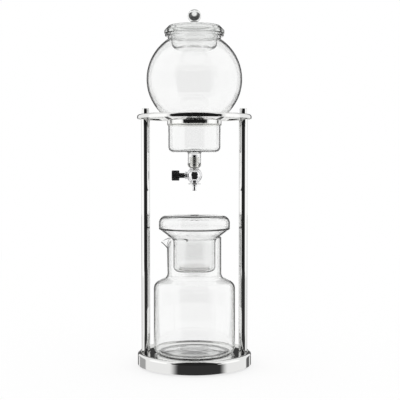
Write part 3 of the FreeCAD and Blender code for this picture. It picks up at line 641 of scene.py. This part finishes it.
# The small pieces under the globe hang from its nipple: stopper, valve and drip nozzle.
valve = {
    "bottom": 256.5,
    "top": 276.9,
    "centre": 266.7,
    "endRadius": 6.1,
    "endEdge": 0.4,
    "ballRadius": 10.8,
    "ballPoints": 48,
    "shankRadius": 4.4,
    "shankTop": 295.9,
    "shankEdge": 0.6,
    "shankCorner": 0.3,
    "bossRadius": 5.0,
    "bossStart": 3.0,
    "bossReach": 11.2,
    "bossEdge": 0.3,
    "bossGap": 0.01,
    "nutRadius": 5.2,
    "nutLength": 2.0,
    "nutGap": 0.1,
    "nutEdges": (0.5, 0.6),
    "stemRadius": 2.8,
    "stemStart": 6.0,
    "stemEnd": 28.1,
    "stemEdge": 0.6,
    "stopperGap": 0.08,
    "stopperFoot": 0.6,
    "stopperPlug": 7.0,
    "stopperTop": 292.7,
    "stopperFlange": 9.8,
    "stopperSeat": 281.3,
    "stopperBend": 2.4,
    "stopperEdges": (0.3, 0.5, 0.6),
}


def makeValve(size, nipple):
    swing = ballAngle(size["endRadius"], size["ballRadius"])
    turnPiece("valveBall", [
        (0, size["bottom"]),
        (size["endRadius"], size["bottom"], size["endEdge"]),
        circlePart(size["centre"], size["ballRadius"], -swing, swing, size["ballPoints"]),
        (size["endRadius"], size["top"], size["endEdge"]),
        (size["shankRadius"], size["top"], size["shankCorner"]),
        (size["shankRadius"], size["shankTop"], size["shankEdge"]),
        (0, size["shankTop"]),
    ], valveChrome, "reservoir", ["valve_body"], around=128, closed=False)
    bossEnd = size["bossReach"] - size["bossGap"]
    turnPiece("valveBoss", [
        (0, size["bossStart"]),
        (size["bossRadius"], size["bossStart"]),
        (size["bossRadius"], bossEnd, size["bossEdge"]),
        (0, bossEnd),
    ], valveChrome, "reservoir", [], around=96, closed=False, lay=onValveAxis)
    nutHole = size["stemRadius"] + size["nutGap"]
    nutEnd = size["bossReach"] + size["nutLength"]
    near, far = size["nutEdges"]
    turnPiece("packingNut", [
        (nutHole, size["bossReach"]),
        (size["nutRadius"], size["bossReach"], near),
        (size["nutRadius"], nutEnd, far),
        (nutHole, nutEnd),
    ], valveChrome, "reservoir", ["packing_nut"], around=96, lay=onValveAxis)
    turnPiece("needleStem", [
        (0, size["stemStart"]),
        (size["stemRadius"], size["stemStart"], size["stemEdge"]),
        (size["stemRadius"], size["stemEnd"], size["stemEdge"]),
        (0, size["stemEnd"]),
    ], valveChrome, "needle", ["needle_stem"], around=64, closed=False, lay=onValveAxis)
    hole = size["shankRadius"] + size["stopperGap"]
    fine, foot, plain = size["stopperEdges"]
    turnPiece("stopper", [
        (hole, size["top"], fine),
        (size["endRadius"] + size["stopperFoot"], size["top"], foot),
        (size["stopperFlange"], size["stopperSeat"], size["stopperBend"]),
        (size["stopperFlange"], nipple, plain),
        (size["stopperPlug"], nipple),
        (size["stopperPlug"], size["stopperTop"], plain),
        (hole, size["stopperTop"], fine),
    ], clearSilicone, "reservoir", ["silicone_stopper"], around=128)


makeValve(valve, globe["nippleBottom"])

# Knob of the needle: a black barrel whose grip is a ring of round grooves, with a neck over the stem.
knob = {
    "reach": 21.1,
    "radius": 7.2,
    "length": 10.7,
    "round": 1.2,
    "dish": 0.8,
    "dishEdge": 0.3,
    "socket": 7.1,
    "stemGap": 0.08,
    "neck": 7.4,
    "neckRadius": 3.5,
    "neckEdge": 0.2,
    "neckCorner": 0.5,
    "flutes": 16,
    "fluteRadius": 0.9,
    "fluteColumns": 24,
}


# A groove is a circle centred a third of its radius outside the barrel. Along a ray at angle b from the
# groove's middle the barrel ends at c cos b - sqrt(g^2 - c^2 sin^2 b), with c the distance of the
# groove's centre and g its radius. Near the ends the grooves run out with the rounding of the barrel.
def makeKnob(size, stem):
    centre = size["radius"] + size["fluteRadius"] / 3
    pitch = 2 * np.pi / size["flutes"]

    def fluted(radius, height, angle):
        offset = (angle + pitch / 2) % pitch - pitch / 2
        inside = np.clip(size["fluteRadius"] ** 2 - (centre * np.sin(offset)) ** 2, 0, None)
        ray = np.where(inside > 0, centre * np.cos(offset) - np.sqrt(inside), size["radius"])
        return np.where(radius > size["neckRadius"], np.minimum(radius, ray), radius), height

    hole = stem + size["stemGap"]
    neckEnd = size["reach"] - size["neck"]
    end = size["reach"] + size["length"]
    turnPiece("valveKnob", [
        (0, size["reach"] + size["socket"]),
        (hole, size["reach"] + size["socket"]),
        (hole, neckEnd),
        (size["neckRadius"], neckEnd, size["neckEdge"]),
        (size["neckRadius"], size["reach"], size["neckCorner"]),
        (size["radius"], size["reach"], size["round"]),
        (size["radius"], end, size["round"]),
        (size["radius"] - 2 * size["round"], end, size["dishEdge"]),
        (0, end - size["dish"]),
    ], knobPlastic, "knob", ["valve_knob"], around=size["flutes"] * size["fluteColumns"], closed=False,
        shape=fluted, lay=onValveAxis, steps=10)


makeKnob(knob, valve["stemRadius"])

# Drip nozzle under the valve.
nozzle = {
    "top": 255.9,
    "flangeRadius": 8.6,
    "flange": 1.7,
    "flangeEdge": 0.55,
    "hubRadius": 3.9,
    "hub": 2.4,
    "hubEdge": 0.6,
    "tubeRadius": 2.6,
    "tube": 6.6,
    "tubeBend": 0.25,
    "tipRadius": 3.1,
    "tipHeight": 0.9,
    "bend": 0.3,
    "bore": 1.5,
    "boreEdge": 0.2,
    "spigotRadius": 3.1,
    "spigot": 3.6,
}


def makeNozzle(size):
    flange = size["top"] - size["flange"]
    hub = flange - size["hub"]
    tip = hub - size["tube"]
    crown = size["top"] + size["spigot"]
    turnPiece("dripNozzle", [
        (size["bore"], tip, size["boreEdge"]),
        (size["tipRadius"], tip, size["bend"]),
        (size["tipRadius"], tip + size["tipHeight"], size["bend"]),
        (size["tubeRadius"], tip + 2 * size["tipHeight"], size["bend"]),
        (size["tubeRadius"], hub, size["tubeBend"]),
        (size["hubRadius"], hub, size["hubEdge"]),
        (size["hubRadius"], flange, size["bend"]),
        (size["flangeRadius"], flange, size["flangeEdge"]),
        (size["flangeRadius"], size["top"], size["flangeEdge"]),
        (size["spigotRadius"], size["top"]),
        (size["spigotRadius"], crown),
        (size["bore"], crown),
    ], valveChrome, "reservoir", ["nozzle"], around=96)


makeNozzle(nozzle)
print("reservoir made")

# Carafe: a blown jug whose neck is drawn out to a pouring lip on the left. Sweep and tipSweep are angles
# from the spout's middle, in radians, and rows is how many points the outline has along the spout.
carafe = {
    "foot": 17.0,
    "top": 180.4,
    "radius": 57.3,
    "wall": 2.3,
    "corner": 8.0,
    "shoulder": 115.5,
    "shoulderRound": 12.0,
    "neckRadius": 37.9,
    "neckFoot": 124.5,
    "neckRound": 8.0,
    "puntRadius": 20.0,
    "puntFoot": 43.0,
    "puntHeight": 3.4,
    "puntRound": 3.0,
    "rim": 0.9,
}
spout = {
    "reach": 9.1,
    "drop": 7.7,
    "depth": 8.4,
    "nib": 0.5,
    "spread": 0.9,
    "sweep": 1.3,
    "tipRound": 0.72,
    "tipSweep": 0.055,
    "growth": 4,
    "soft": 1.2,
    "leastSoft": 0.02,
    "rows": 24,
    "rowsFoot": 0.6,
    "rowsTop": 2.0,
    "passes": 24,
}


# The spout is a V in plan whose tip moves out with height. Around its axis at angle a from the tip the
# V lies at s t / (sin a + s cos a), with t the distance of the tip and s the spread, and the neck takes
# whichever is farther out, with a soft change between the two. The rim falls off towards the tip.
def makeCarafe(size, lip):
    root = size["top"] - lip["drop"] - lip["depth"]
    slope = lip["reach"] / lip["depth"]
    lipStart = size["neckRadius"] + lip["nib"]
    lipFall = lip["drop"] / (lip["reach"] - lip["nib"])
    wallIn = size["wall"] * math.sqrt(1 + 1 / lip["spread"] ** 2)
    outerNeck = size["neckRadius"]
    innerNeck = outerNeck - size["wall"]
    neckMiddle = outerNeck - size["wall"] / 2

    def drawn(radius, height, angle):
        off = np.abs(angle - np.pi)
        rise = np.clip(height - root, 0, None)
        grown = np.clip(rise / lip["growth"], 0, 1)
        tip = outerNeck + lip["nib"] + slope * rise - np.where(radius < neckMiddle, wallIn, 0)
        reach = lip["spread"] * tip / (np.sin(off) + lip["spread"] * np.cos(off))
        ahead = (off < lip["sweep"]) & (rise > 0)
        soft = lip["soft"] * np.maximum(grown, lip["leastSoft"])
        wide = np.where(ahead, reach, 0)
        blend = np.clip(0.5 + 0.5 * (wide - radius) / soft, 0, 1)
        pushed = radius + (wide - radius) * blend + soft * blend * (1 - blend)
        tipSoft = lip["tipRound"] * np.exp(-(off / lip["tipSweep"]) ** 2) * grown
        return np.where(ahead, pushed, radius) - np.where(ahead & (wide > radius), tipSoft, 0)

    # The rim's height and its reach hang on each other, so they are worked out by passes of averaging.
    def shape(radius, height, angle):
        above = height > root
        neck = np.where(radius < neckMiddle, innerNeck, outerNeck)
        rimHeight = np.full_like(height, size["top"])
        for _ in range(lip["passes"]):
            fall = lipFall * np.clip(drawn(neck, rimHeight, angle) - lipStart, 0, None)
            rimHeight = 0.5 * rimHeight + 0.5 * (size["top"] - fall)
        share = np.clip((height - root) / (size["top"] - root), 0, None)
        moved = np.where(above, root + share * (rimHeight - root), height)
        return np.where(above, drawn(radius, moved, angle), radius), moved

    innerRadius = size["radius"] - size["wall"]
    ladder = np.linspace(root + lip["rowsFoot"], size["top"] - lip["rowsTop"], lip["rows"])
    outerLadder = np.column_stack([np.full(lip["rows"], outerNeck), ladder])
    innerLadder = np.column_stack([np.full(lip["rows"], innerNeck), ladder[::-1]])
    foot = size["foot"]
    floor = foot + size["wall"]
    turnPiece("carafeGlass", [
        (0, foot + size["puntHeight"]),
        (size["puntRadius"], foot + size["puntHeight"], size["puntRound"]),
        (size["puntFoot"], foot, size["puntRound"]),
        (size["radius"], foot, size["corner"]),
        (size["radius"], size["shoulder"], size["shoulderRound"]),
        (outerNeck, size["neckFoot"], size["neckRound"]),
        outerLadder,
        (outerNeck, size["top"], size["rim"]),
        (innerNeck, size["top"], size["rim"]),
        innerLadder,
        (innerNeck, size["neckFoot"] - size["wall"] / 3, size["neckRound"] + size["wall"]),
        (innerRadius, size["shoulder"] - size["wall"] / 3, size["shoulderRound"] - size["wall"]),
        (innerRadius, floor, size["corner"] - size["wall"]),
        (size["puntFoot"], floor, size["puntRound"]),
        (size["puntRadius"], floor + size["puntHeight"], size["puntRound"]),
        (0, floor + size["puntHeight"]),
    ], clearGlass, "carafe_body", ["carafe"], around=320, closed=False, shape=shape, steps=9)


makeCarafe(carafe, spout)

# Coffee chamber: a tube in the carafe's neck with a flare that rests on the rim, and its filter.
chamber = {
    "radius": 29.5,
    "wall": 2.4,
    "bottom": 131.8,
    "corner": 7.0,
    "waist": 176.1,
    "waistRound": 8.0,
    "topRadius": 50.0,
    "top": 193.5,
    "rise": 15.6,
    "rim": 1.8,
    "rimEdge": 0.6,
    "flareCorner": 1.5,
    "filterRadius": 21.5,
    "filterFoot": 19.5,
    "filterHeight": 8.0,
    "filterEdge": 0.6,
    "sleeve": 1.6,
    "sleeveGap": 0.16,
    "outletEdge": 0.4,
}


def makeChamber(size):
    inner = size["radius"] - size["wall"]
    floor = size["bottom"] + size["wall"]
    taper = (size["filterRadius"] - size["filterFoot"]) / size["filterHeight"]
    outlet = size["filterFoot"] + size["sleeve"] + size["sleeveGap"]
    slope = size["rise"] / (size["topRadius"] - size["radius"])
    innerFlare = size["waist"] + size["wall"] * math.sqrt(1 + slope ** 2)
    fall = size["wall"] * slope
    top = size["top"]
    innerTop = size["topRadius"] - size["wall"]
    turnPiece("chamberGlass", [
        (outlet, size["bottom"], size["outletEdge"]),
        (size["radius"], size["bottom"], size["corner"]),
        (size["radius"], size["waist"], size["waistRound"]),
        (size["topRadius"], top - size["rim"], size["rim"]),
        (size["topRadius"], top, size["rimEdge"]),
        (innerTop, top, size["rimEdge"]),
        (innerTop, innerFlare + size["rise"] - fall, size["flareCorner"]),
        (inner, innerFlare - fall, size["waistRound"] - size["wall"]),
        (inner, floor, size["corner"] - size["wall"]),
        (outlet + taper * size["wall"], floor, size["outletEdge"]),
    ], clearGlass, "chamber", ["coffee_chamber"], around=224, steps=9)
    filterTop = size["bottom"] + size["filterHeight"]
    turnPiece("filterDisc", [
        (0, size["bottom"]),
        (size["filterFoot"], size["bottom"], size["filterEdge"]),
        (size["filterRadius"], filterTop, size["filterEdge"]),
        (0, filterTop),
    ], filterCeramic, "chamber", ["ceramic_filter"], around=128, closed=False)


makeChamber(chamber)

# Lid of the chamber, with a dimple that leads each drop through the hole in its middle.
chamberLid = {
    "foot": 193.8,
    "footEdge": 0.8,
    "crown": 211.2,
    "dome": 1.0,
    "round": 10.0,
    "dimpleRadius": 6.0,
    "dimpleDepth": 2.0,
    "dimpleRound": 3.0,
    "dimpleUnder": 1.8,
    "holeRadius": 2.6,
    "holeEdge": 0.6,
}


def makeChamberLid(size, pot):
    wall = pot["wall"]
    outer = pot["topRadius"]
    inner = outer - wall
    crown = size["crown"]
    shoulder = crown - size["dome"]
    hole = crown - size["dimpleDepth"]
    turnPiece("chamberLid", [
        (inner, size["foot"], size["footEdge"]),
        (outer, size["foot"], size["footEdge"]),
        (outer, shoulder, size["round"]),
        (size["dimpleRadius"], crown, size["dimpleRound"]),
        (size["holeRadius"], hole, size["holeEdge"]),
        (size["holeRadius"], hole - wall, size["holeEdge"]),
        (size["dimpleRadius"], crown - wall, size["dimpleUnder"]),
        (inner, shoulder - wall, size["round"] - wall),
    ], clearGlass, "chamber_cover", ["chamber_lid"], around=224, steps=10)


makeChamberLid(chamberLid, chamber)
print("glassware made")

# Pieces that keep the frame's own shape: they get their finish here.
plainPieces = {
    "ballast_plate": plateIron,
    "rubber_feet": footRubber,
    "plate_screws": plainSteel,
    "rod_screws": plainSteel,
    "rod_washers": plainSteel,
    "gland_packing": sealPlastic,
    "nozzle_seal": sealPlastic,
    "knob_set_screw": plainSteel,
    "filter_gasket": clearSilicone,
}
for name, material in plainPieces.items():
    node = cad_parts[name]
    node.data.materials.clear()
    node.data.materials.append(material)
print("small pieces finished")


# Table: an even white sheet that melts into the surround and keeps the soft shadow of the base.
def makeFloor(light):
    half = light["floorSize"] / 2
    corners = [(-half, -half, 0), (half, -half, 0), (half, half, 0), (-half, half, 0)]
    mesh = bpy.data.meshes.new("tableTop")
    mesh.from_pydata(corners, [], [(0, 1, 2, 3)])
    material, tree, shader = newMaterial("whiteTable")
    shader.inputs["Base Color"].default_value = light["floorColour"]
    shader.inputs["Roughness"].default_value = 1
    shader.inputs["Specular IOR Level"].default_value = 0
    shader.inputs["Emission Color"].default_value = (1, 1, 1, 1)
    rays = tree.nodes.new("ShaderNodeLightPath")
    seen = mathNode(tree, "MAXIMUM", rays.outputs["Is Camera Ray"], rays.outputs["Is Transmission Ray"])
    lift = mathNode(tree, "MULTIPLY", seen, light["floorLift"])
    tree.links.new(lift, shader.inputs["Emission Strength"])
    mesh.materials.append(material)
    table = bpy.data.objects.new("tableTop", mesh)
    table.visible_glossy = False
    scene.collection.objects.link(table)


makeFloor(studioLight)

# Cards that only reflections see. The eye and the table never see them. Each is a strip about the tower's
# axis that runs from one radius and height to another, in metres: 0 degrees faces the camera's side, and
# positive angles go to the right. Soft is the angle over which its two ends fade away.
metalCards = {
    "frontTop": {"turn": (-51, 58), "low": (2.2, 0.42), "high": (2.2, 1.5), "shade": 0.012, "soft": 5},
    "frontRoof": {"turn": (-47, 49), "low": (2.2, 1.5), "high": (0.05, 2.4), "shade": 0.012, "soft": 5},
    "frontHigh": {"turn": (-47, 49), "low": (2.2, -0.12), "high": (2.2, 0.42), "shade": 0.019, "soft": 5},
    "frontLow": {"turn": (-43, 60), "low": (2.2, -0.36), "high": (2.2, -0.12), "shade": 0.03, "soft": 14},
    "frontFoot": {"turn": (-51, 70), "low": (2.2, -1.2), "high": (2.2, -0.36), "shade": 0.036, "soft": 20},
    "frontWell": {"turn": (-47, 49), "low": (0, -0.3), "high": (0.9, -0.3), "shade": 0.02, "soft": 5},
    "shelfHigh": {"turn": (-42, 46), "low": (0.02, 0.286), "high": (1.2, 0.286), "shade": 0.02, "soft": 8},
    "shelfLow": {"turn": (-42, 46), "low": (0.02, 0.244), "high": (1.2, 0.244), "shade": 0.02, "soft": 8},
    "leftFlat": {"turn": (-147, -111), "low": (2, -1), "high": (2, 0.1), "shade": 0.42, "soft": 6},
    "rightFlat": {"turn": (124, 148), "low": (2, -1), "high": (2, 0.1), "shade": 0.13, "soft": 6},
    "behindHigh": {"turn": (160, 200), "low": (2.4, 0.4), "high": (2.4, 2.4), "shade": 0.05, "soft": 6},
    "leftEdge": {"turn": (-168, -150), "low": (2.3, -1.2), "high": (2.3, 2.2), "shade": 0.12, "soft": 4},
    "rightEdge": {"turn": (150, 168), "low": (2.3, -1.2), "high": (2.3, 2.2), "shade": 0.12, "soft": 4},
    "leftGlow": {"turn": (-104, -52), "low": (1.9, -0.1), "high": (1.9, 1.4), "shade": 1.25, "soft": 6},
    "rightGlow": {"turn": (60, 104), "low": (1.9, -0.1), "high": (1.9, 1.4), "shade": 1.25, "soft": 6},
}

# The same room as glass sees it, once one of its walls has thrown the light back.
glassCards = {
    "frontSoft": {"turn": (-48, 50), "low": (2.1, -0.2), "high": (2.1, 1.5), "shade": 0, "soft": 8},
    "frontRoom": {"turn": (-125, 125), "low": (2.3, -0.2), "high": (2.3, 1), "shade": 0.6, "soft": 45},
    "frontMat": {"turn": (-48, 50), "low": (0.45, 0.004), "high": (2.1, 0.004), "shade": 0, "soft": 8},
    "roomMat": {"turn": (-125, 125), "low": (0.45, 0.002), "high": (2.3, 0.002), "shade": 0.6, "soft": 45},
}

# What the floor of the dish mirrors from behind the tower: once through the carafe's walls, and once
# through its walls and its bottom.
behindCarafe = {"turn": (165, 195), "low": (2.4, 0.545), "high": (2.4, 0.75), "shade": 0.05, "soft": 3}
underCarafe = {"turn": (165, 195), "low": (2.4, 0.4), "high": (2.4, 0.56), "shade": 0.05, "soft": 3}

# Limits for the two counts of a light path: how often it was thrown back, and how many surfaces of glass
# it has passed.
counts = {
    "none": (-1, 0.5),
    "any": (0.5, 99),
    "two": (1.5, 2.5),
    "four": (3.5, 4.5),
    "eight": (7.5, 8.5),
}
stripSteps = 48


# A strip is ruled between two arcs, so a point lies at (r sin a, -r cos a, z) for every angle a. Its map
# tells the angle from its first end, in degrees.
def stripMesh(name, turn, low, high):
    angle = np.radians(np.linspace(turn[0], turn[1], stripSteps + 1))
    arc = np.column_stack([np.sin(angle), -np.cos(angle)])
    edges = [np.column_stack([arc * end[0], np.full(stripSteps + 1, end[1])]) for end in (low, high)]
    first = np.arange(stripSteps)
    above = first + stripSteps + 1
    faces = np.column_stack([first, first + 1, above + 1, above])
    mesh = bpy.data.meshes.new(name)
    mesh.from_pydata(np.concatenate(edges).tolist(), [], faces.tolist())
    layer = mesh.uv_layers.new(name="strip")
    along = np.concatenate([np.linspace(0, turn[1] - turn[0], stripSteps + 1)] * 2)
    corner = np.empty(len(mesh.loops), dtype=np.int32)
    mesh.loops.foreach_get("vertex_index", corner)
    layer.data.foreach_set("uv", np.column_stack([along[corner], np.zeros(len(corner))]).ravel())
    return mesh


# One where a count of the light path lies between two limits, and zero elsewhere.
def countBetween(tree, count, limits):
    above = mathNode(tree, "GREATER_THAN", count, limits[0])
    return mathNode(tree, "MULTIPLY", above, mathNode(tree, "LESS_THAN", count, limits[1]))


# A glow that shows only where the light was thrown back, and has passed glass surfaces, as many times as
# the limits say. Its ends fade away over the soft angle, which the strip's own map measures. The shade is
# a number, or a function that gives the output of a node.
def makeCardLight(name, shade, thrown, walls, span=0, soft=0):
    material, tree, _ = newMaterial(name)
    rays = tree.nodes.new("ShaderNodeLightPath")
    back = countBetween(tree, rays.outputs["Glossy Depth"], thrown)
    seen = mathNode(tree, "MULTIPLY", back, countBetween(tree, rays.outputs["Transmission Depth"], walls))
    if soft:
        place = tree.nodes.new("ShaderNodeTexCoord")
        parts = tree.nodes.new("ShaderNodeSeparateXYZ")
        tree.links.new(place.outputs["UV"], parts.inputs["Vector"])
        left = parts.outputs["X"]
        right = mathNode(tree, "SUBTRACT", span, left)
        fade = tree.nodes.new("ShaderNodeMapRange")
        fade.interpolation_type = "SMOOTHSTEP"
        fade.inputs["From Max"].default_value = soft
        tree.links.new(mathNode(tree, "MINIMUM", left, right), fade.inputs["Value"])
        seen = mathNode(tree, "MULTIPLY", seen, fade.outputs["Result"])
    clear = tree.nodes.new("ShaderNodeBsdfTransparent")
    glow = tree.nodes.new("ShaderNodeEmission")
    mix = tree.nodes.new("ShaderNodeMixShader")
    tree.links.new(seen, mix.inputs["Fac"])
    tree.links.new(clear.outputs["BSDF"], mix.inputs[1])
    tree.links.new(glow.outputs["Emission"], mix.inputs[2])
    tree.links.new(mix.outputs["Shader"], tree.nodes["Material Output"].inputs["Surface"])
    if callable(shade):
        tree.links.new(shade(tree), glow.inputs["Strength"])
    else:
        glow.inputs["Strength"].default_value = shade
    return material


def placeCard(name, mesh, material, seenBy):
    mesh.materials.append(material)
    sheet = bpy.data.objects.new(name, mesh)
    for ray in ["camera", "diffuse", "glossy", "transmission", "shadow", "volume_scatter"]:
        setattr(sheet, "visible_" + ray, ray == seenBy)
    scene.collection.objects.link(sheet)


def makeCard(name, card, walls, seenBy):
    mesh = stripMesh(name, card["turn"], card["low"], card["high"])
    span = card["turn"][1] - card["turn"][0]
    light = makeCardLight(name, card["shade"], counts["any"], walls, span, card["soft"])
    placeCard(name, mesh, light, seenBy)


for name, card in metalCards.items():
    makeCard(name + "Card", card, counts["none"], "glossy")
for name, card in glassCards.items():
    makeCard(name + "Card", card, counts["any"], "transmission")
makeCard("behindCarafeCard", behindCarafe, counts["four"], "transmission")
makeCard("underCarafeCard", underCarafe, counts["eight"], "transmission")

# Flags behind the tower on both sides of the white backdrop. Only light that a glass wall has thrown
# back sees them, and they draw the dark outline along each edge of the glass.
studioFlags = {
    "leftPale": {"turn": (-171, -168), "shade": 0.4},
    "leftDark": {"turn": (-168, -146), "shade": 0.03},
    "rightDark": {"turn": (146, 168), "shade": 0.03},
    "rightPale": {"turn": (168, 171), "shade": 0.4},
}
flagPlace = {"radius": 2.3, "top": 2.0, "near": 0.11, "lift": 0.003}


def makeFlag(name, flag, place):
    foot = (place["radius"], place["lift"])
    upright = stripMesh(name + "Flag", flag["turn"], foot, (place["radius"], place["top"]))
    lying = stripMesh(name + "Mat", flag["turn"], (place["near"], place["lift"]), foot)
    for mesh in (upright, lying):
        light = makeCardLight(mesh.name, flag["shade"], counts["any"], counts["any"])
        placeCard(mesh.name, mesh, light, "transmission")


for name, flag in studioFlags.items():
    makeFlag(name, flag, flagPlace)

# The frame round the white backdrop, for solid glass such as the ball of the lid: light that passed two
# surfaces and was never thrown back sees it. It is a part of a ball about the way behind the tower, in
# metres and degrees, and it darkens from its inner edge outwards.
backdropFrame = {
    "distance": 2.25,
    "height": 0.25,
    "inner": 11,
    "dark": 19,
    "outer": 46,
    "shade": 0.06,
    "around": 96,
    "rings": 24,
}


def makeFrame(size):
    around = size["around"]
    polar = np.radians(np.linspace(size["inner"], size["outer"], size["rings"]))[:, None]
    turn = np.linspace(0, 2 * np.pi, around, endpoint=False)[None, :]
    back = np.repeat(np.cos(polar), around, axis=1)
    way = np.stack([np.sin(polar) * np.cos(turn), back, np.sin(polar) * np.sin(turn)], axis=-1)
    corners = size["distance"] * way.reshape(-1, 3) + (0, 0, size["height"])
    faces = ringFaces(np.arange(size["rings"] - 1), around, size["rings"])
    mesh = bpy.data.meshes.new("backdropFrame")
    mesh.from_pydata(corners.tolist(), [], faces.tolist())

    def fadeOut(tree):
        place = tree.nodes.new("ShaderNodeTexCoord")
        lower = tree.nodes.new("ShaderNodeVectorMath")
        lower.operation = "SUBTRACT"
        lower.inputs[1].default_value = (0, 0, size["height"])
        level = tree.nodes.new("ShaderNodeVectorMath")
        level.operation = "NORMALIZE"
        parts = tree.nodes.new("ShaderNodeSeparateXYZ")
        fade = tree.nodes.new("ShaderNodeMapRange")
        fade.inputs["From Min"].default_value = math.cos(math.radians(size["dark"]))
        fade.inputs["From Max"].default_value = math.cos(math.radians(size["inner"]))
        fade.inputs["To Min"].default_value = size["shade"]
        tree.links.new(place.outputs["Object"], lower.inputs[0])
        tree.links.new(lower.outputs["Vector"], level.inputs[0])
        tree.links.new(level.outputs["Vector"], parts.inputs["Vector"])
        tree.links.new(parts.outputs["Y"], fade.inputs["Value"])
        return fade.outputs["Result"]

    light = makeCardLight("backdropFrame", fadeOut, counts["none"], counts["two"])
    placeCard("backdropFrame", mesh, light, "transmission")


makeFrame(backdropFrame)
print("studio made")
